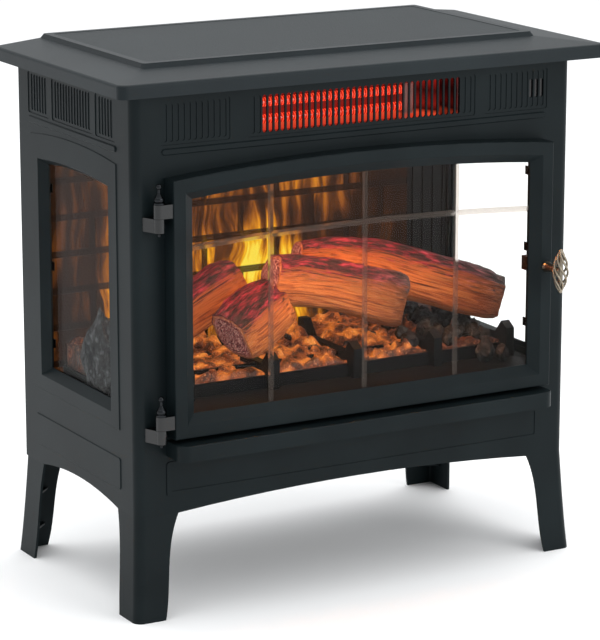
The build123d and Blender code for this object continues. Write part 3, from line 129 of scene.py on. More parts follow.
def top_coat():
    """The same powder coat, with the pebbled field that is pressed into the raised plateau."""
    material, tree, shader = finish_of("powder_coated_top", Specular_IOR_Level=0.16)
    place = add(tree, "ShaderNodeTexCoord").outputs["Object"]
    height = add(tree, "ShaderNodeSeparateXYZ", {0: place}).outputs["Z"]
    field = add(tree, "ShaderNodeMath", {0: height, 1: CAD_HIGH[2] - 0.4 * MM, 2: 0.15 * MM},
                operation="COMPARE").outputs[0]
    cloudy = add(tree, "ShaderNodeTexNoise", {"Vector": place, "Scale": 1 / (CLOUD_SIZE * MM), "Detail": 3.0})
    cloud = add(tree, "ShaderNodeValToRGB", {"Fac": cloudy.outputs["Fac"]},
                stops=((0.3, "#161d20"), (0.75, "#1b2326")))
    tree.links.new(cloud.outputs[0], shader.inputs["Base Color"])
    pebbles = add(tree, "ShaderNodeTexVoronoi", {"Vector": place, "Scale": 1 / (PEBBLE_SIZE * MM)},
                  distance="EUCLIDEAN")
    pebbled = add(tree, "ShaderNodeMath", {0: pebbles.outputs["Distance"], 1: field}, operation="MULTIPLY")
    peel = add(tree, "ShaderNodeTexNoise", {"Vector": place, "Scale": 1 / (0.9 * MM), "Detail": 3.0})
    both = add(tree, "ShaderNodeMath", {0: peel.outputs["Fac"], 1: pebbled.outputs[0]}, operation="ADD")
    rough = add(tree, "ShaderNodeMapRange", {"Value": field, "To Min": 0.42, "To Max": 0.5})
    tree.links.new(rough.outputs[0], shader.inputs["Roughness"])
    bump = add(tree, "ShaderNodeBump", {"Height": both.outputs[0], "Distance": 0.3 * MM})
    tree.links.new(bump.outputs[0], shader.inputs["Normal"])
    return material


def bare_metal(name, code, roughness, stretch, grain_mm):
    """Bare metal with the fine direction that rolling, drawing or turning leaves in it."""
    material, tree, shader = finish_of(name, Metallic=1.0)
    place = add(tree, "ShaderNodeTexCoord").outputs["Object"]
    scaled = add(tree, "ShaderNodeMapping", {"Vector": place, "Scale": stretch})
    lines = add(tree, "ShaderNodeTexNoise", {
        "Vector": scaled.outputs[0], "Scale": 1 / (grain_mm * MM), "Detail": 4.0,
    }).outputs["Fac"]
    tone = add(tree, "ShaderNodeMix", {
        "Factor": lines, 6: linear(code), 7: tuple(c * 0.72 for c in linear(code)[:3]) + (1,),
    }, data_type="RGBA")
    tree.links.new(tone.outputs[2], shader.inputs["Base Color"])
    rough = add(tree, "ShaderNodeMapRange", {"Value": lines, "To Min": roughness, "To Max": roughness + 0.14})
    tree.links.new(rough.outputs[0], shader.inputs["Roughness"])
    bump = add(tree, "ShaderNodeBump", {"Height": lines, "Distance": 0.03 * MM})
    tree.links.new(bump.outputs[0], shader.inputs["Normal"])
    return material


def moulded(name, code, roughness, grain_mm=0.8, depth_mm=0.05):
    """Injection moulded plastic or rubber with a spark-eroded grain."""
    material, tree, shader = finish_of(name, Roughness=roughness, IOR=1.46)
    place = add(tree, "ShaderNodeTexCoord").outputs["Object"]
    speck = add(tree, "ShaderNodeTexNoise", {
        "Vector": place, "Scale": 1 / (grain_mm * MM), "Detail": 2.0,
    }).outputs["Fac"]
    tone = add(tree, "ShaderNodeMix", {
        "Factor": speck, 6: linear(code), 7: tuple(c * 1.5 for c in linear(code)[:3]) + (1,),
    }, data_type="RGBA")
    tree.links.new(tone.outputs[2], shader.inputs["Base Color"])
    bump = add(tree, "ShaderNodeBump", {"Height": speck, "Distance": depth_mm * MM})
    tree.links.new(bump.outputs[0], shader.inputs["Normal"])
    return material


GROOVE_MIDDLE, GROOVE_REACH = 0.62, 0.58    # how far a groove's faces lie behind the pane's front, and spread


def clear_glass(name, code, ior, groove_y=None):
    """Tempered glass: clear, with the least tint. Its index is set low, so that what it covers stays dark."""
    material, tree, shader = finish_of(name, Transmission_Weight=1.0, IOR=ior, Roughness=0.0)
    place = add(tree, "ShaderNodeTexCoord").outputs["Object"]
    ripple = add(tree, "ShaderNodeTexNoise", {"Vector": place, "Scale": 1 / (140 * MM), "Detail": 1.0})
    tint = add(tree, "ShaderNodeMix", {
        "Factor": ripple.outputs["Fac"], 6: linear(code), 7: linear("#ffffff"),
    }, data_type="RGBA")
    tree.links.new(tint.outputs[2], shader.inputs["Base Color"])
    if groove_y is None:
        return material
    # the bevelled grooves are sunk behind the front of the pane, and their ground faces are a little dull
    depth = add(tree, "ShaderNodeSeparateXYZ", {0: place}).outputs["Y"]
    ground = add(tree, "ShaderNodeMath", {
        0: depth, 1: groove_y + GROOVE_MIDDLE * MM, 2: GROOVE_REACH * MM,
    }, operation="COMPARE")
    both = add(tree, "ShaderNodeMix", {"Factor": ground.outputs[0], 6: tint.outputs[2], 7: linear("#b4a69a")},
               data_type="RGBA")
    tree.links.new(both.outputs[2], shader.inputs["Base Color"])
    dull = add(tree, "ShaderNodeMath", {0: ground.outputs[0], 1: 0.22}, operation="MULTIPLY")
    tree.links.new(dull.outputs[0], shader.inputs["Roughness"])
    clear = add(tree, "ShaderNodeMapRange", {"Value": ground.outputs[0], "To Min": 1.0, "To Max": 0.93})
    tree.links.new(clear.outputs[0], shader.inputs["Transmission Weight"])
    return material


COIL_TURN = 3.0     # millimetres between turns, drawn a little coarser than the real coil so that it shows


def glowing_tube():
    """Ruby quartz tube with a hot coil inside it: bright turns seen through a red wall."""
    material, tree, shader = finish_of("ruby_quartz_lit", Roughness=0.08, Emission_Strength=1.3)
    place = add(tree, "ShaderNodeTexCoord").outputs["Object"]
    turns = add(tree, "ShaderNodeTexWave", {
        "Vector": place, "Scale": math.tau / 20 / (COIL_TURN * MM), "Distortion": 0.8,
    }, bands_direction="X")
    glow = add(tree, "ShaderNodeValToRGB", {"Fac": turns.outputs["Fac"]},
               stops=((0.0, "#8c150d"), (0.5, "#b4220f"), (1.0, "#e84a30")))
    tree.links.new(glow.outputs[0], shader.inputs["Emission Color"])
    tree.links.new(glow.outputs[0], shader.inputs["Base Color"])
    return material


def ruby_lit(name, code, metallic, roughness, low_z, high_z, strength):
    """A heater part with the red light of the ruby tubes painted on: metal or ceramic under painted bands of
    red glow, brightest at its foot.
    """
    material, tree, shader = finish_of(name, Metallic=metallic, Roughness=roughness,
                                       Emission_Strength=strength)
    shader.inputs["Base Color"].default_value = linear(code)
    place = add(tree, "ShaderNodeTexCoord").outputs["Object"]
    height = add(tree, "ShaderNodeSeparateXYZ", {0: place}).outputs["Z"]
    share = add(tree, "ShaderNodeMapRange", {"Value": height, "From Min": low_z, "From Max": high_z})
    bands = add(tree, "ShaderNodeValToRGB", {"Fac": share.outputs[0]}, stops=(
        (0.0, "#c83420"), (0.16, "#e04a2c"), (0.26, "#2a0705"), (0.4, "#7a160f"), (0.58, "#5a100c"),
        (0.72, "#2c0706"), (1.0, "#8c1a14")))
    # painted glow: the red light that the tubes throw on this part is painted into its emission
    tree.links.new(bands.outputs[0], shader.inputs["Emission Color"])
    speck = add(tree, "ShaderNodeTexNoise", {"Vector": place, "Scale": 1 / (1.2 * MM), "Detail": 3.0})
    bump = add(tree, "ShaderNodeBump", {"Height": speck.outputs["Fac"], "Distance": 0.03 * MM})
    tree.links.new(bump.outputs[0], shader.inputs["Normal"])
    return material


def brick_picture(face_y):
    """Moulded brick screen lit from behind: the flame picture on the bricks, dark mortar between them."""
    material, tree, shader = finish_of("backlit_brick_screen", Roughness=0.7, Emission_Strength=0.95,
                                       Specular_IOR_Level=0.05)
    place = add(tree, "ShaderNodeTexCoord").outputs["Object"]
    parts = add(tree, "ShaderNodeSeparateXYZ", {0: place})
    # where the surface is sunk behind the face of the bricks, it is mortar
    mortar = add(tree, "ShaderNodeMath", {0: parts.outputs["Y"], 1: face_y + 0.6 * MM},
                 operation="GREATER_THAN")
    # tall licks that lean and fork: streaks about 20 mm wide and seven times as tall, on a wandering base
    sway = add(tree, "ShaderNodeTexNoise", {"Vector": place, "Scale": 11.0, "Detail": 2.0})
    lean = add(tree, "ShaderNodeMath", {0: sway.outputs["Fac"], 1: 0.05}, operation="MULTIPLY")
    across = add(tree, "ShaderNodeMath", {0: parts.outputs["X"], 1: lean.outputs[0]}, operation="ADD")
    tall = add(tree, "ShaderNodeMath", {0: parts.outputs["Z"], 1: 0.15}, operation="MULTIPLY")
    bent = add(tree, "ShaderNodeCombineXYZ", {"X": across.outputs[0], "Y": 0.0, "Z": tall.outputs[0]})
    licks = add(tree, "ShaderNodeTexNoise", {"Vector": bent.outputs[0], "Scale": 54.0, "Detail": 4.0,
                                             "Roughness": 0.6, "Distortion": 0.15})
    sharp = add(tree, "ShaderNodeMapRange", {
        "Value": licks.outputs["Fac"], "From Min": 0.37, "From Max": 0.69, "To Min": 0.2, "To Max": 1.0,
    }, interpolation_type="SMOOTHSTEP")
    # brightest left of the middle, dim past the left side window's edge, fading right and towards the roof
    side = add(tree, "ShaderNodeMapRange", {"Value": parts.outputs["X"], "From Min": -0.27, "From Max": 0.20,
                                            "To Min": 0.0, "To Max": 1.0})
    reach = add(tree, "ShaderNodeValToRGB", {"Fac": side.outputs[0]}, stops=(
        (0.0, "#8c8c8c"), (0.12, "#9c9c9c"), (0.2, "#ffffff"), (0.64, "#f4f4f4"), (0.76, "#c4c4c4"),
        (0.9, "#9c9c9c"), (1.0, "#787878")))
    rise = add(tree, "ShaderNodeMapRange", {"Value": parts.outputs["Z"], "From Min": 0.33, "From Max": 0.52,
                                            "To Min": 1.08, "To Max": 0.62})
    level = add(tree, "ShaderNodeMath", {0: reach.outputs[0], 1: rise.outputs[0]}, operation="MULTIPLY")
    patch = add(tree, "ShaderNodeTexNoise", {"Vector": place, "Scale": 15.0, "Detail": 1.0})
    body = add(tree, "ShaderNodeMapRange", {"Value": patch.outputs["Fac"], "From Min": 0.35, "From Max": 0.62,
                                            "To Min": 0.62, "To Max": 1.25})
    uneven = add(tree, "ShaderNodeMath", {0: level.outputs[0], 1: body.outputs[0]}, operation="MULTIPLY")
    lit = add(tree, "ShaderNodeMath", {0: sharp.outputs[0], 1: uneven.outputs[0]}, operation="MULTIPLY")
    flame = add(tree, "ShaderNodeValToRGB", {"Fac": lit.outputs[0]}, stops=(
        (0.0, "#0e0804"), (0.16, "#28160a"), (0.34, "#633610"), (0.52, "#a86212"), (0.68, "#dc8f14"),
        (0.84, "#f8bb1c"), (1.0, "#ffe04c")))
    dark = add(tree, "ShaderNodeMapRange", {"Value": mortar.outputs[0], "To Min": 1.0, "To Max": 0.1})
    shade = add(tree, "ShaderNodeMix", {"Factor": dark.outputs[0], 6: linear("#0d0805"), 7: flame.outputs[0]},
                data_type="RGBA")
    tree.links.new(shade.outputs[2], shader.inputs["Emission Color"])
    shader.inputs["Base Color"].default_value = linear("#140c08")
    sand = add(tree, "ShaderNodeTexNoise", {"Vector": place, "Scale": 1 / (3.0 * MM), "Detail": 4.0})
    bump = add(tree, "ShaderNodeBump", {"Height": sand.outputs["Fac"], "Distance": 0.4 * MM})
    tree.links.new(bump.outputs[0], shader.inputs["Normal"])
    return material


def split_log():
    """Cast resin log: charred bark flecked with crimson, orange split faces with long grain, cut ends; the
    whole log carries a faint painted glow.
    """
    material, tree, shader = finish_of("hand_painted_log_resin", Roughness=0.62, Specular_IOR_Level=0.3,
                                       Emission_Strength=0.3)
    run = add(tree, "ShaderNodeAttribute", attribute_name="run").outputs["Vector"]
    bark = add(tree, "ShaderNodeAttribute", attribute_name="bark").outputs["Fac"]
    cut = add(tree, "ShaderNodeAttribute", attribute_name="cut").outputs["Fac"]
    char = add(tree, "ShaderNodeAttribute", attribute_name="char").outputs["Fac"]
    # wood fibres are about 70 mm long and 2 mm wide, bark flakes about 17 by 4 mm
    fibre_place = add(tree, "ShaderNodeMapping", {"Vector": run, "Scale": (14, 520, 520)})
    fibre = add(tree, "ShaderNodeTexNoise", {"Vector": fibre_place.outputs[0], "Scale": 1.0, "Detail": 5.0,
                                             "Roughness": 0.62, "Distortion": 0.5}).outputs["Fac"]
    wood = add(tree, "ShaderNodeValToRGB", {"Fac": fibre}, stops=(
        (0.3, "#2e1208"), (0.4, "#82401a"), (0.5, "#c06a30"), (0.62, "#da8844"), (0.8, "#f0bc88")))
    flake_place = add(tree, "ShaderNodeMapping", {"Vector": run, "Scale": (60, 240, 240)})
    flake = add(tree, "ShaderNodeTexNoise", {"Vector": flake_place.outputs[0], "Scale": 1.0, "Detail": 6.0,
                                             "Roughness": 0.7}).outputs["Fac"]
    charred = add(tree, "ShaderNodeValToRGB", {"Fac": flake}, stops=(
        (0.34, "#080506"), (0.44, "#1e0c10"), (0.52, "#4a1220"), (0.6, "#7c1c30"), (0.74, "#b04660")))
    cinder = add(tree, "ShaderNodeValToRGB", {"Fac": flake}, stops=(
        (0.36, "#0c0c0d"), (0.5, "#2c2a2b"), (0.62, "#4f4b4a"), (0.78, "#8d8783")))
    skin = add(tree, "ShaderNodeMix", {"Factor": char, 6: charred.outputs[0], 7: cinder.outputs[0]},
               data_type="RGBA")
    ring_place = add(tree, "ShaderNodeMapping", {"Vector": run, "Scale": (30, 700, 260)})
    ring = add(tree, "ShaderNodeTexNoise", {"Vector": ring_place.outputs[0], "Scale": 1.0, "Detail": 5.0,
                                            "Distortion": 1.0}).outputs["Fac"]
    sawn = add(tree, "ShaderNodeValToRGB", {"Fac": ring}, stops=(
        (0.34, "#2a1512"), (0.46, "#6a2a2c"), (0.54, "#a8605a"), (0.66, "#d8b09c")))
    ragged = add(tree, "ShaderNodeMath", {0: bark, 1: fibre}, operation="ADD")
    edge = add(tree, "ShaderNodeMapRange", {"Value": ragged.outputs[0], "From Min": 0.8, "From Max": 1.0})
    scorched = add(tree, "ShaderNodeValToRGB", {"Fac": flake}, stops=(
        (0.36, "#120c0a"), (0.5, "#4a2a1a"), (0.62, "#8a5636"), (0.78, "#b8845c")))
    aged = add(tree, "ShaderNodeMath", {0: char, 1: 0.85}, operation="MULTIPLY")
    timber = add(tree, "ShaderNodeMix", {
        "Factor": aged.outputs[0], 6: wood.outputs[0], 7: scorched.outputs[0],
    }, data_type="RGBA")
    # painted shade: the split face is darkened towards its foot, away from the glow of its bark edge
    up = add(tree, "ShaderNodeSeparateXYZ", {0: run}).outputs["Z"]
    foot = add(tree, "ShaderNodeMapRange", {"Value": up, "From Min": -0.028, "From Max": 0.012,
                                            "To Min": 0.66, "To Max": 0.0})
    timber_with_painted_shade = add(tree, "ShaderNodeMix", {
        "Factor": foot.outputs[0], 6: timber.outputs[2], 7: linear("#4a2210"),
    }, data_type="RGBA")
    long_faces = add(tree, "ShaderNodeMix", {
        "Factor": edge.outputs[0], 6: timber_with_painted_shade.outputs[2], 7: skin.outputs[2],
    }, data_type="RGBA")
    every_face = add(tree, "ShaderNodeMix", {"Factor": cut, 6: long_faces.outputs[2], 7: sawn.outputs[0]},
                     data_type="RGBA")
    tree.links.new(every_face.outputs[2], shader.inputs["Base Color"])
    # painted glow: every face of the log also emits its own colour, which brightens it as if lit
    tree.links.new(every_face.outputs[2], shader.inputs["Emission Color"])
    both = add(tree, "ShaderNodeMath", {0: fibre, 1: flake}, operation="ADD")
    bump = add(tree, "ShaderNodeBump", {"Height": both.outputs[0], "Distance": 1.6 * MM})
    tree.links.new(bump.outputs[0], shader.inputs["Normal"])
    return material


def ember_resin():
    """Translucent orange resin lit from below: glowing hollows, ashy crests and pale sparkle."""
    material, tree, shader = finish_of("lit_ember_resin", Roughness=0.5, Emission_Strength=0.8)
    place = add(tree, "ShaderNodeTexCoord").outputs["Object"]
    parts = add(tree, "ShaderNodeSeparateXYZ", {0: place})
    cells = add(tree, "ShaderNodeTexNoise", {
        "Vector": place, "Scale": 1 / (17 * MM), "Detail": 5.0, "Distortion": 0.6,
    }).outputs["Fac"]
    # the lamps under the bed stop short of both ends, most of all the right one, where the lumps are cold
    cold = add(tree, "ShaderNodeMapRange", {"Value": parts.outputs["X"], "From Min": 0.09, "From Max": 0.19,
                                            "To Min": 0.0, "To Max": 0.2})
    corner = add(tree, "ShaderNodeMapRange", {
        "Value": parts.outputs["X"], "From Min": -0.19, "From Max": -0.23, "To Min": 0.0, "To Max": 0.25,
    })
    dim = add(tree, "ShaderNodeMath", {0: cold.outputs[0], 1: corner.outputs[0]}, operation="ADD")
    heat = add(tree, "ShaderNodeMath", {0: cells, 1: dim.outputs[0]}, operation="SUBTRACT")
    glow = add(tree, "ShaderNodeValToRGB", {"Fac": heat.outputs[0]}, stops=(
        (0.3, "#0e0705"), (0.42, "#4a200c"), (0.5, "#8a421a"), (0.58, "#cf6c26"), (0.68, "#f39440"),
        (0.8, "#ffc47e")))
    tree.links.new(glow.outputs[0], shader.inputs["Emission Color"])
    fine = add(tree, "ShaderNodeTexNoise", {"Vector": place, "Scale": 1 / (1.6 * MM), "Detail": 3.0})
    sparkle = add(tree, "ShaderNodeValToRGB", {"Fac": fine.outputs["Fac"]}, stops=(
        (0.5, "#1e0e08"), (0.6, "#5c2e1a"), (0.7, "#d0a078")))
    tree.links.new(sparkle.outputs[0], shader.inputs["Base Color"])
    crumb = add(tree, "ShaderNodeTexNoise", {"Vector": place, "Scale": 1 / (2.4 * MM), "Detail": 4.0})
    bump = add(tree, "ShaderNodeBump", {"Height": crumb.outputs["Fac"], "Distance": 0.9 * MM})
    tree.links.new(bump.outputs[0], shader.inputs["Normal"])
    return material


def char_coal(name, dark, mid, light):
    """Burnt wood and coal: brittle black with ashy grey edges."""
    material, tree, shader = finish_of(name, Roughness=0.7, Specular_IOR_Level=0.5)
    place = add(tree, "ShaderNodeTexCoord").outputs["Object"]
    broken = add(tree, "ShaderNodeTexNoise", {"Vector": place, "Scale": 1 / (6 * MM), "Detail": 6.0})
    crackle = add(tree, "ShaderNodeValToRGB", {"Fac": broken.outputs["Fac"]},
                  stops=((0.38, dark), (0.52, mid), (0.72, light)))
    tree.links.new(crackle.outputs[0], shader.inputs["Base Color"])
    crumb = add(tree, "ShaderNodeTexNoise", {"Vector": place, "Scale": 1 / (3.2 * MM), "Detail": 6.0})
    bump = add(tree, "ShaderNodeBump", {"Height": crumb.outputs["Fac"], "Distance": 1.4 * MM})
    tree.links.new(bump.outputs[0], shader.inputs["Normal"])
    return material


def solder_mask():
    """Green circuit board with lighter traces."""
    material, tree, shader = finish_of("solder_mask_board", Roughness=0.4)
    place = add(tree, "ShaderNodeTexCoord").outputs["Object"]
    traces = add(tree, "ShaderNodeTexBrick", {"Vector": place, "Scale": 60.0, "Mortar Size": 0.03,
                                              "Color1": linear("#0d3a1c"), "Color2": linear("#10421f"),
                                              "Mortar": linear("#3f7a45")})
    tree.links.new(traces.outputs[0], shader.inputs["Base Color"])
    return material


# the band of height where the heater shows behind the slots
SLOT_LOW, SLOT_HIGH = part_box("quartz_tubes")[0][2] - 12 * MM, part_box("quartz_tubes")[1][2] + 6 * MM

FINISHES = {
    "body_paint": powder_coat("powder_coated_steel", "#0f1618", "#161e20", 0.9, 0.05, 0.42, 0.1),
    "top_paint": top_coat(),
    "inner_steel": powder_coat("heat_resistant_black", "#08090a", "#0e1011", 0.7, 0.05, 0.5, 0.12),
    "hinge_black": powder_coat("semi_gloss_black", "#07090a", "#0c0e0f", 1.2, 0.05, 0.24, 0.5),
    "zinc_steel": bare_metal("zinc_plated_steel", "#a8abad", 0.3, (0.3, 1, 3), 1.6),
    "gunmetal": bare_metal("polished_gunmetal", "#2c2e30", 0.16, (1, 1, 6), 1.2),
    "antique_brass": bare_metal("antiqued_brass", "#9a9080", 0.24, (1, 1, 1), 1.0),
    "polished_aluminium": bare_metal("bright_rolled_aluminium", "#d8d9db", 0.14, (0.2, 1, 1), 1.4),
    "mirror_foil": bare_metal("polished_fin_aluminium", "#d8d9db", 0.1, (1, 1, 1), 2.0),
    "black_plastic": moulded("moulded_black_nylon", "#101112", 0.5),
    "button_plastic": moulded("moulded_grey_abs", "#3a3c3e", 0.42),
    "smoked_plastic": moulded("smoked_acrylic", "#0a0708", 0.12),
    "black_rubber": moulded("moulded_black_rubber", "#0e0e0e", 0.72, 1.2, 0.08),
    "ceramic_white": moulded("unglazed_steatite", "#cfcabb", 0.55, 0.6, 0.04),
    "clear_glass": clear_glass("tempered_glass", "#fbfdfc", 1.06),
    "door_pane": clear_glass("bevelled_tempered_glass", "#fbfdfc", 1.12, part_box("door_glass")[0][1]),
    "quartz": glowing_tube(),
    # the heater's reflector, holders and box carry the tubes' red light as painted glow
    "lit_reflector": ruby_lit("ruby_lit_aluminium", "#6a2018", 0.7, 0.3, SLOT_LOW, SLOT_HIGH, 0.9),
    "lit_ceramic": ruby_lit("ruby_lit_steatite", "#8a6058", 0.0, 0.5, SLOT_LOW, SLOT_HIGH, 0.45),
    "lit_box": ruby_lit("ruby_lit_zinc", "#401410", 0.5, 0.4, SLOT_LOW, SLOT_HIGH, 0.25),
    "circuit_board": solder_mask(),
    "brick_plastic": brick_picture(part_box("brick_screen")[0][1]),
    "log_resin": split_log(),
    "ember_plastic": ember_resin(),
    "coal_resin": char_coal("cast_coal", "#040505", "#141617", "#505354"),
    "char": char_coal("charred_chunks", "#0a0909", "#1f1a18", "#5b4a40"),
}

SLOT_OF = {row["node"]: row["material_slot"] for row in frame["record"]["subparts"]}
for node_name, cad_object in NODES.items():
    cad_object.data.materials.clear()
    cad_object.data.materials.append(FINISHES[SLOT_OF[node_name]])
NODES["top_panel"].data.materials[0] = FINISHES["top_paint"]
NODES["door_glass"].data.materials[0] = FINISHES["door_pane"]
NODES["heater_reflector"].data.materials[0] = FINISHES["lit_reflector"]
NODES["tube_holders"].data.materials[0] = FINISHES["lit_ceramic"]
NODES["heater_box"].data.materials[0] = FINISHES["lit_box"]


# ---------------------------------------------------------------- mesh helpers
def piece_from(name, points, faces, material, attributes=None, smooth=True):
    """A mesh object at the origin, with per-point attributes."""
    mesh = bpy.data.meshes.new(name)
    mesh.from_pydata([tuple(p) for p in points], [], faces)
    mesh.materials.append(material)
    for key, values in (attributes or {}).items():
        kind = "FLOAT_VECTOR" if len(np.shape(values)) == 2 else "FLOAT"
        layer = mesh.attributes.new(key, kind, "POINT")
        layer.data.foreach_set("vector" if kind == "FLOAT_VECTOR" else "value",
                               np.asarray(values, np.float32).ravel())
    mesh.polygons.foreach_set("use_smooth", [smooth] * len(mesh.polygons))
    mesh.validate()
    made = bpy.data.objects.new(name, mesh)
    bpy.context.scene.collection.objects.link(made)
    return made


def rough(point, size_mm, depth_mm, octaves=4):
    """Fractal roughness at a point, in metres."""
    return noise.fractal(Vector(point) / (size_mm * MM), 0.9, 2.1, octaves) * depth_mm * MM


# ---------------------------------------------------------------- logs
# Each log: stations along it as (x, y, z of its middle, half depth, half height), all in millimetres;
# how far its split face leans up; how much of each end is charred; and its own seed.
LOGS = {
    "log_left_back": {
        "stations": ((-190, 28, 272, 24, 26), (-160, 30, 290, 26, 28), (-129, 32, 306, 27, 28),
                     (-92, 34, 322, 27, 31), (-72, 36, 330, 24, 26)),
        "lean": 0.1, "char": (0.0, 0.3), "seed": 3.1},
    "log_left_front": {
        "stations": ((-122, -46, 287, 24, 27), (-104, -40, 295, 26, 29), (-84, -34, 305, 26, 29),
                     (-64, -28, 314, 25, 26), (-52, -24, 318, 22, 23)),
        "lean": -0.25, "char": (0.35, 0.0), "seed": 7.7},
    "log_centre": {
        "stations": ((-58, -21, 340, 22, 29), (-30, -21, 337, 24, 30), (10, -21, 328, 25, 30),
                     (50, -21, 316, 26, 30), (88, -22, 303, 27, 32), (106, -22, 297, 25, 31)),
        "lean": 0.05, "char": (0.0, 0.75), "seed": 12.4},
    "log_right": {
        "stations": ((6, 34, 350, 17, 15), (50, 32, 346, 21, 21), (100, 27, 333, 24, 27),
                     (150, 18, 315, 26, 30), (200, 6, 298, 27, 31), (236, -3, 286, 26, 28),
                     (252, -6, 281, 23, 25)),
        "lean": 0.08, "char": (0.1, 0.9), "seed": 18.9},
}
AROUND, ALONG, CAP_RINGS = 112, 150, 9


def log_section():
    """One turn of the section, as (front, up) shares and bark share: split face and foot flat, bark round."""
    corners = ((1.0, 0.56), (0.66, 0.95), (0.0, 1.0), (-0.6, 0.86), (-1.0, 0.3), (-0.94, -0.55),
               (-0.4, -0.95), (0.5, -1.0), (0.98, -0.86))
    bark = (0.45, 1.0, 1.0, 1.0, 1.0, 1.0, 0.4, 0.0, 0.0)
    shares = np.linspace(0, len(corners), AROUND, endpoint=False)
    turn = []
    for share in shares:
        i = int(share)
        t = share - i
        here, after = corners[i], corners[(i + 1) % len(corners)]
        turn.append((here[0] + (after[0] - here[0]) * t, here[1] + (after[1] - here[1]) * t,
                     bark[i] + (bark[(i + 1) % len(bark)] - bark[i]) * t))
    return np.array(turn)


def make_log(name, stations, lean, char, seed):
    """A split log: a section swept along its stations, roughened, with two ragged cut ends."""
    knots = np.array(stations, float)
    where = np.linspace(0, len(knots) - 1, ALONG)
    middle = np.stack([np.interp(where, range(len(knots)), knots[:, k]) for k in range(5)], 1)
    for _ in range(12):
        middle[1:-1] = (middle[:-2] + 2 * middle[1:-1] + middle[2:]) / 4
    section = log_section()
    axis = Vector(knots[-1, :3] - knots[0, :3]).normalized()
    front = Vector((0, -1, 0)) - axis * axis.dot(Vector((0, -1, 0)))
    front.normalize()
    up = front.cross(axis) * -1
    if up.z < 0:
        up = -up
    front = (front + up * lean).normalized()
    points, run, bark, cut, burnt = [], [], [], [], []
    travelled = 0.0
    for row in range(ALONG):
        if row:
            travelled += float(np.linalg.norm(middle[row, :3] - middle[row - 1, :3])) * MM
        share = row / (ALONG - 1)
        scorch = max(char[0] * (1 - share * 4), char[1] * (share * 2.4 - 1.2), 0.0)
        centre = Vector(middle[row, :3]) * MM
        for front_share, up_share, bark_share in section:
            forward = front_share * middle[row, 3] * MM
            upward = up_share * middle[row, 4] * MM
            place = centre + front * forward + up * upward
            outward = (front * front_share + up * up_share).normalized()
            probe = Vector((travelled * 0.35, forward, upward)) + Vector((seed, seed, seed))
            ridges = rough(probe, 7.0, 1.5, 5) * bark_share + rough(probe * 1.0, 22, 2.6, 3)
            fibre = rough(Vector((travelled * 0.06 + seed, up_share * 0.02, front_share * 0.02)), 1.6, 0.7, 3)
            place += outward * (ridges + fibre * (1 - bark_share))
            points.append(place)
            run.append((travelled + seed, forward, upward))
            bark.append(bark_share)
            cut.append(0.0)
            burnt.append(min(scorch, 1.0))
    faces = []
    for row in range(ALONG - 1):
        for k in range(AROUND):
            a, b = row * AROUND + k, row * AROUND + (k + 1) % AROUND
            faces.append((a, b, b + AROUND, a + AROUND))
    for end, row in ((0, 0), (1, ALONG - 1)):
        rim = list(range(row * AROUND, (row + 1) * AROUND))
        centre = sum((points[i] for i in rim), Vector()) / AROUND
        out = axis * (1 if end else -1)
        previous = rim
        for ring in range(1, CAP_RINGS + 1):
            shrink = 1 - ring / (CAP_RINGS + 0.35)
            swell = (1 - shrink ** 2) * 3.0 * MM
            current = []
            for i in rim:
                flat = centre + (points[i] - centre) * shrink
                splinter = rough(flat + Vector((seed, 0, 0)), 3.0, 1.3, 4)
                splinter += rough(flat + Vector((0, seed, 0)), 14, 2.0)
                current.append(len(points))
                points.append(flat + out * (swell + splinter * (1 - shrink) ** 0.4))
                spread = (points[i] - centre) * shrink
                run.append((end + seed, spread.length, math.atan2(spread.dot(up), spread.dot(front)) * 0.02))
                bark.append(0.0)
                cut.append(1.0 if ring > 1 else 0.5)
                burnt.append(0.0)
            for k in range(AROUND):
                quad = (previous[k], current[k], current[(k + 1) % AROUND], previous[(k + 1) % AROUND])
                faces.append(quad if end == 0 else quad[::-1])
            previous = current
        tip = len(points)
        points.append(sum((points[i] for i in previous), Vector()) / AROUND)
        run.append((end + seed, 0, 0))
        bark.append(0.0)
        cut.append(1.0)
        burnt.append(0.0)
        for k in range(AROUND):
            triangle = (previous[k], tip, previous[(k + 1) % AROUND])
            faces.append(triangle if end == 0 else triangle[::-1])
    made = piece_from(name + "_split", points, faces, FINISHES["log_resin"],
                      {"run": run, "bark": bark, "cut": cut, "char": burnt})
    tidy_normals(made)
    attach(made, "cabinet")
    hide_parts(name)


def tidy_normals(piece):
    """Turns every face of a closed piece outwards."""
    shell = bmesh.new()
    shell.from_mesh(piece.data)
    bmesh.ops.recalc_face_normals(shell, faces=shell.faces)
    shell.to_mesh(piece.data)
    shell.free()


for log_name, log_form in LOGS.items():
    make_log(log_name, **log_form)

# ---------------------------------------------------------------- ember bed
BED_LOW, BED_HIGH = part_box("ember_bed")
TRAY_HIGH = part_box("ember_tray")[1][2]
BED_COLUMNS, BED_ROWS = 300, 96
GRATE_BARS = (-177, -70, 37, 144, 243)      # where the grate's bars run back, in millimetres across


def bed_height(x, y):
    """The bed lies low beside the grate bars and rises at the back, under the logs."""
    back = min(max((y + 0.02) / 0.08, 0.0), 1.0)
    mound = 0.020 * back * (0.8 + 0.5 * noise.noise(Vector((x * 14, y * 9, 3.0))))
    lump = noise.voronoi(Vector((x, y, 0.0)) / (22 * MM))[0]
    pebble = max(0.0, 0.85 - lump[0]) * 13 * MM
    crease = abs(noise.noise(Vector((x, y, 0.0)) / (16 * MM))) * 5 * MM
    from_bar = min(abs(x - bar * MM) for bar in GRATE_BARS)
    clear = min(max((from_bar - 7 * MM) / (10 * MM), 0.0), 1.0)
    relief = (mound + pebble + crease) * (0.25 + 0.75 * clear)
    return TRAY_HIGH + 0.8 * MM + relief + rough((x, y, 0.1), 4.0, 1.0)


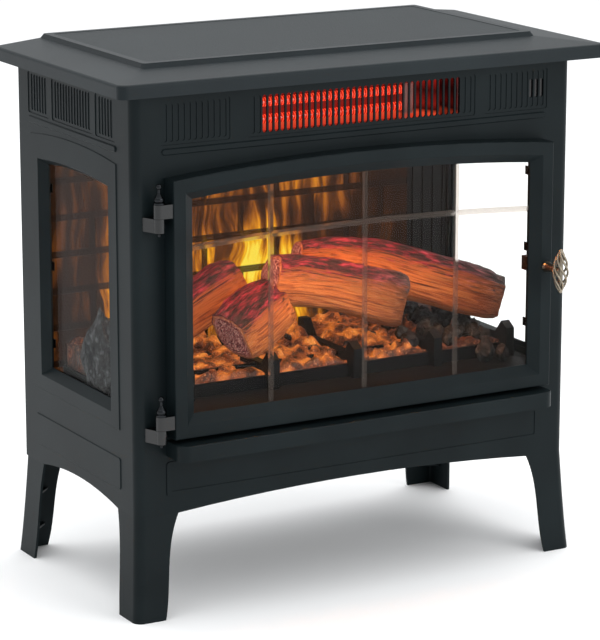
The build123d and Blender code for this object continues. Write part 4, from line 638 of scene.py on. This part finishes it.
def make_bed():
    """The moulded ember bed: a rumpled sheet with skirts, closed underneath."""
    xs = np.linspace(BED_LOW[0] + MM, BED_HIGH[0] - MM, BED_COLUMNS)
    ys = np.linspace(BED_LOW[1] + MM, BED_HIGH[1] - MM, BED_ROWS)
    points = [Vector((x, y, bed_height(x, y))) for y in ys for x in xs]
    under = len(points)
    points += [Vector((x, y, BED_LOW[2])) for y in ys for x in xs]
    faces = []
    for row in range(BED_ROWS - 1):
        for column in range(BED_COLUMNS - 1):
            a = row * BED_COLUMNS + column
            faces.append((a, a + 1, a + 1 + BED_COLUMNS, a + BED_COLUMNS))
            faces.append((under + a, under + a + BED_COLUMNS, under + a + 1 + BED_COLUMNS, under + a + 1))
    rim = [i for i in range(BED_COLUMNS)]
    rim += [r * BED_COLUMNS + BED_COLUMNS - 1 for r in range(1, BED_ROWS)]
    rim += [(BED_ROWS - 1) * BED_COLUMNS + c for c in range(BED_COLUMNS - 2, -1, -1)]
    rim += [r * BED_COLUMNS for r in range(BED_ROWS - 2, 0, -1)]
    for here, after in zip(rim, rim[1:] + rim[:1]):
        faces.append((here, under + here, under + after, after))
    made = piece_from("ember_bed_moulding", points, faces, FINISHES["ember_plastic"])
    tidy_normals(made)
    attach(made, "cabinet")
    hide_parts("ember_bed")


def lump_shape(name, size_mm, seed, squash=0.75, detail=2):
    """One broken lump: a rough stone a few dozen faces strong."""
    shell = bmesh.new()
    bmesh.ops.create_icosphere(shell, subdivisions=detail, radius=size_mm * MM / 2)
    for vertex in shell.verts:
        chunk = noise.noise(vertex.co / (size_mm * MM) * 2.4 + Vector((seed, 0, 0)))
        vertex.co *= 1 + 0.42 * chunk
        vertex.co.z *= squash
    mesh = bpy.data.meshes.new(name)
    shell.to_mesh(mesh)
    shell.free()
    mesh.polygons.foreach_set("use_smooth", [False] * len(mesh.polygons))
    return bpy.data.objects.new(name, mesh)


def scatter_tree(name, lump, material):
    """Scatters a lump over the patch that the tree is put on, in the density and sizes given."""
    tree = bpy.data.node_groups.new(name, "GeometryNodeTree")
    for label, kind, direction in (
            ("Geometry", "NodeSocketGeometry", "INPUT"), ("Lumps", "NodeSocketFloat", "INPUT"),
            ("Smallest", "NodeSocketFloat", "INPUT"), ("Largest", "NodeSocketFloat", "INPUT"),
            ("Geometry", "NodeSocketGeometry", "OUTPUT")):
        tree.interface.new_socket(label, in_out=direction, socket_type=kind)
    given = add(tree, "NodeGroupInput")
    spots = add(tree, "GeometryNodeDistributePointsOnFaces", {
        "Mesh": given.outputs["Geometry"], "Density": given.outputs["Lumps"], "Seed": 11})
    shape = add(tree, "GeometryNodeObjectInfo", {"Object": lump})
    turn = add(tree, "FunctionNodeRandomValue", {"Min": (0, 0, 0), "Max": (6.28, 6.28, 6.28), "Seed": 4},
               data_type="FLOAT_VECTOR")
    size = add(tree, "FunctionNodeRandomValue", {"Seed": 9}, data_type="FLOAT")
    tree.links.new(given.outputs["Smallest"], size.inputs[2])
    tree.links.new(given.outputs["Largest"], size.inputs[3])
    placed = add(tree, "GeometryNodeInstanceOnPoints", {
        "Points": spots.outputs[0], "Instance": shape.outputs["Geometry"], "Rotation": turn.outputs[0],
        "Scale": size.outputs[1]})
    real = add(tree, "GeometryNodeRealizeInstances", {"Geometry": placed.outputs[0]})
    coated = add(tree, "GeometryNodeSetMaterial", {"Geometry": real.outputs[0], "Material": material})
    add(tree, "NodeGroupOutput", {0: coated.outputs[0]})
    return tree


def scattered(name, bounds, height, lump, material, settings):
    """Lumps scattered over a patch of the bed, as one plain mesh."""
    (low_x, low_y), (high_x, high_y) = bounds
    columns, rows = 90, 14
    points = []
    for r in range(rows):
        for c in range(columns):
            x = low_x + (high_x - low_x) * c / (columns - 1)
            y = low_y + (high_y - low_y) * r / (rows - 1)
            points.append((x, y, bed_height(x, y) + height * MM))
    # lumps keep off the bars that run back, though not off the grate's rails that run across
    faces = [(r * columns + c, r * columns + c + 1, (r + 1) * columns + c + 1, (r + 1) * columns + c)
             for r in range(rows - 1) for c in range(columns - 1)
             if min(abs(points[c][0] - bar * MM) for bar in GRATE_BARS) > 15 * MM]
    patch = piece_from(name + "_patch", points, faces, material)
    tree = scatter_tree(name + "_tree", lump, material)
    modifier = patch.modifiers.new("scatter", "NODES")
    modifier.node_group = tree
    for item in tree.interface.items_tree:
        if item.in_out == "INPUT" and item.name in settings:
            modifier[item.identifier] = float(settings[item.name])
    bpy.context.view_layer.update()
    evaluated = patch.evaluated_get(bpy.context.evaluated_depsgraph_get())
    mesh = bpy.data.meshes.new_from_object(evaluated)
    made = bpy.data.objects.new(name, mesh)
    bpy.context.scene.collection.objects.link(made)
    bpy.data.objects.remove(patch)
    if not mesh.materials:
        mesh.materials.append(material)
    return made


make_bed()
ember_lump = lump_shape("ember_lump_shape", 10, 2.3)
# Each scatter: its patch of the bed, how far it stands off the bed, its finish and slot, and its lumps.
SCATTERS = {
    "ember_lumps": (((BED_LOW[0] + 0.012, BED_LOW[1] + 0.006), (0.13, BED_HIGH[1] - 0.012)), -2.0,
                    "ember_plastic", "ember_plastic", {"Lumps": 3600, "Smallest": 0.6, "Largest": 1.7}),
    "cinder_lumps": (((-0.235, BED_LOW[1] + 0.014), (0.235, BED_HIGH[1] - 0.02)), -1.0,
                     "char", "coal_resin", {"Lumps": 500, "Smallest": 0.5, "Largest": 1.2}),
    "cold_coals": (((0.12, BED_LOW[1] + 0.01), (0.238, 0.06)), 5.0,
                   "coal_resin", "coal_resin", {"Lumps": 7000, "Smallest": 1.0, "Largest": 2.4}),
}
for lumps_name, (patch_box, off_bed, lump_finish, lump_slot, lump_settings) in SCATTERS.items():
    lumps = scattered(lumps_name, patch_box, off_bed, ember_lump, FINISHES[lump_finish], lump_settings)
    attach(lumps, "cabinet")
bpy.data.objects.remove(ember_lump)


# ---------------------------------------------------------------- coal lumps in the front corners
def rock(name_seed, foot, radii_mm, height_mm):
    """One tall broken rock: points and faces."""
    shell = bmesh.new()
    bmesh.ops.create_icosphere(shell, subdivisions=5, radius=1.0)
    for vertex in shell.verts:
        ridge = noise.fractal(vertex.co * 1.6 + Vector((name_seed, 0, 0)), 0.8, 2.2, 5)
        facet = noise.voronoi(vertex.co * 1.3 + Vector((0, name_seed, 0)))[0][0]
        out = 0.82 + 0.2 * ridge + 0.22 * facet
        shoulder = 1 - 0.35 * max(vertex.co.z, 0)
        z = max(vertex.co.z * out, -0.9)
        vertex.co = Vector((foot[0] + vertex.co.x * out * radii_mm[0] * shoulder,
                            foot[1] + vertex.co.y * out * radii_mm[1] * shoulder,
                            foot[2] + (z + 0.9) / 1.9 * height_mm)) * MM
    points = [v.co.copy() for v in shell.verts]
    faces = [tuple(v.index for v in f.verts) for f in shell.faces]
    shell.free()
    return points, faces


# Each rock: its foot, its half width and half depth, its height and its own seed.
COAL = (((-249, 16, 220.3), (18, 40), 94, 1.0), ((-238, -44, 220.3), (16, 26), 70, 4.0),
        ((-197, -74, 220.3), (9, 9), 24, 5.0), ((-217, -92, 220.3), (8, 8), 16, 3.0),
        ((204, -62, 220.3), (11, 11), 30, 8.0), ((222, -70, 220.3), (9, 9), 22, 12.0))
coal_points, coal_faces = [], []
for coal_foot, coal_radii, coal_height, coal_seed in COAL:
    some_points, some_faces = rock(coal_seed, coal_foot, coal_radii, coal_height)
    start = len(coal_points)
    coal_points += some_points
    coal_faces += [tuple(i + start for i in face) for face in some_faces]
coal = piece_from("coal_rocks", coal_points, coal_faces, FINISHES["coal_resin"])
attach(coal, "cabinet")
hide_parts("coal_lumps")

# ---------------------------------------------------------------- handle cage
CAGE_WIRES, CAGE_STEPS, WIRE_SIDES = 6, 40, 12
CAGE_TWIST = math.radians(-205)
WIRE_RADIUS, KNOB_RADIUS = 1.3 * MM, 3 * MM


def make_cage():
    """Twisted wires that swell out between two end knobs, each wire and knob closed, joined as one piece."""
    low, high = (Vector(corner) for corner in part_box("handle_cage"))
    middle = (low + high) / 2
    swell = (high.x - low.x) / 2 - WIRE_RADIUS
    points, faces = [], []
    for wire in range(CAGE_WIRES):
        path = []
        for step in range(CAGE_STEPS + 1):
            share = step / CAGE_STEPS
            angle = math.tau * wire / CAGE_WIRES + CAGE_TWIST * share
            reach = swell * (0.12 + 0.88 * math.sin(math.pi * share) ** 0.75)
            path.append(Vector((middle.x + reach * math.cos(angle), middle.y + reach * math.sin(angle),
                                low.z + KNOB_RADIUS + (high.z - low.z - 2 * KNOB_RADIUS) * share)))
        start = len(points)
        for step, place in enumerate(path):
            along = (path[min(step + 1, CAGE_STEPS)] - path[max(step - 1, 0)]).normalized()
            side = along.cross(Vector((place.x - middle.x, place.y - middle.y, 0))).normalized()
            out = side.cross(along)
            for k in range(WIRE_SIDES):
                turn = math.tau * k / WIRE_SIDES
                points.append(place + (side * math.cos(turn) + out * math.sin(turn)) * WIRE_RADIUS)
        for step in range(CAGE_STEPS):
            for k in range(WIRE_SIDES):
                a = start + step * WIRE_SIDES + k
                b = start + step * WIRE_SIDES + (k + 1) % WIRE_SIDES
                faces.append((a, b, b + WIRE_SIDES, a + WIRE_SIDES))
        faces.append(tuple(start + k for k in range(WIRE_SIDES)))
        faces.append(tuple(start + CAGE_STEPS * WIRE_SIDES + k for k in range(WIRE_SIDES)))
    for knob_z in (low.z + KNOB_RADIUS, high.z - KNOB_RADIUS):
        start = len(points)
        for ring in range(1, WIRE_SIDES):
            tilt = math.pi * ring / WIRE_SIDES
            for k in range(2 * WIRE_SIDES):
                turn = math.pi * k / WIRE_SIDES
                points.append(Vector((middle.x + KNOB_RADIUS * math.sin(tilt) * math.cos(turn),
                                      middle.y + KNOB_RADIUS * math.sin(tilt) * math.sin(turn),
                                      knob_z + KNOB_RADIUS * math.cos(tilt))))
        for ring in range(WIRE_SIDES - 2):
            for k in range(2 * WIRE_SIDES):
                a = start + ring * 2 * WIRE_SIDES + k
                b = start + ring * 2 * WIRE_SIDES + (k + 1) % (2 * WIRE_SIDES)
                faces.append((a, a + 2 * WIRE_SIDES, b + 2 * WIRE_SIDES, b))
        faces.append(tuple(start + k for k in range(2 * WIRE_SIDES)))
        last = start + (WIRE_SIDES - 2) * 2 * WIRE_SIDES
        faces.append(tuple(last + k for k in range(2 * WIRE_SIDES))[::-1])
    made = piece_from("twisted_cage", points, faces, FINISHES["antique_brass"])
    tidy_normals(made)
    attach(made, "door")
    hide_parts("handle_cage")


make_cage()

# ---------------------------------------------------------------- camera
CAMERA_PLACE = (-1.660, -2.952, 1.103)
CAMERA_YAW, CAMERA_PITCH = 29.24, 13.65
CAMERA_LENS = 171.3

camera_data = bpy.data.cameras.new("camera")
camera_data.lens = CAMERA_LENS
camera_data.sensor_width = 36
camera_data.clip_end = 60
camera = bpy.data.objects.new("camera", camera_data)
camera.location = CAMERA_PLACE
camera.rotation_euler = (math.radians(90 - CAMERA_PITCH), 0, math.radians(-CAMERA_YAW))
bpy.context.scene.collection.objects.link(camera)
bpy.context.scene.camera = camera


# ---------------------------------------------------------------- stage and lights
def area_light(name, place, target, size, power, code):
    """A soft rectangular light aimed at a point."""
    data = bpy.data.lights.new(name, "AREA")
    data.shape = "RECTANGLE"
    data.size, data.size_y = size
    data.energy = power
    data.color = linear(code)[:3]
    light = bpy.data.objects.new(name, data)
    light.location = place
    light.rotation_euler = (Vector(target) - Vector(place)).to_track_quat("-Z", "Y").to_euler()
    bpy.context.scene.collection.objects.link(light)


FLOOR_SIZE = 14.0
FLOOR_CORNERS = [(FLOOR_SIZE * x, FLOOR_SIZE * y, 0) for x, y in ((-1, -1), (1, -1), (1, 1), (-1, 1))]
floor_paint = finish_of("pale_floor", Base_Color=linear("#ffffff"), Roughness=0.9, Specular_IOR_Level=0.1)[0]
floor = piece_from("floor", FLOOR_CORNERS, [(0, 1, 2, 3)], floor_paint, smooth=False)

world = bpy.data.worlds.new("studio")
bpy.context.scene.world = world
world.use_nodes = True
world.node_tree.nodes["Background"].inputs[0].default_value = linear("#f4f6f8")
world.node_tree.nodes["Background"].inputs[1].default_value = 0.95
bpy.context.scene.view_settings.view_transform = "Standard"

area_light("overhead", (0.2, 0.4, 3.4), (0, 0, 0.3), (5.5, 5.5), 120, "#ffffff")
area_light("front_fill", (1.6, -3.4, 1.5), (0, 0, 0.35), (2.2, 1.8), 44, "#ffffff")
# lamps under the firebox roof warm the log set from above and in front
area_light("log_lamp", (0.0, -0.100, 0.488), (0.0, 0.02, 0.30), (0.40, 0.03), 1.2, "#ffa860")
area_light("bark_lamp", (0.0, 0.02, 0.496), (0.0, 0.0, 0.30), (0.42, 0.08), 0.3, "#ff9a86")
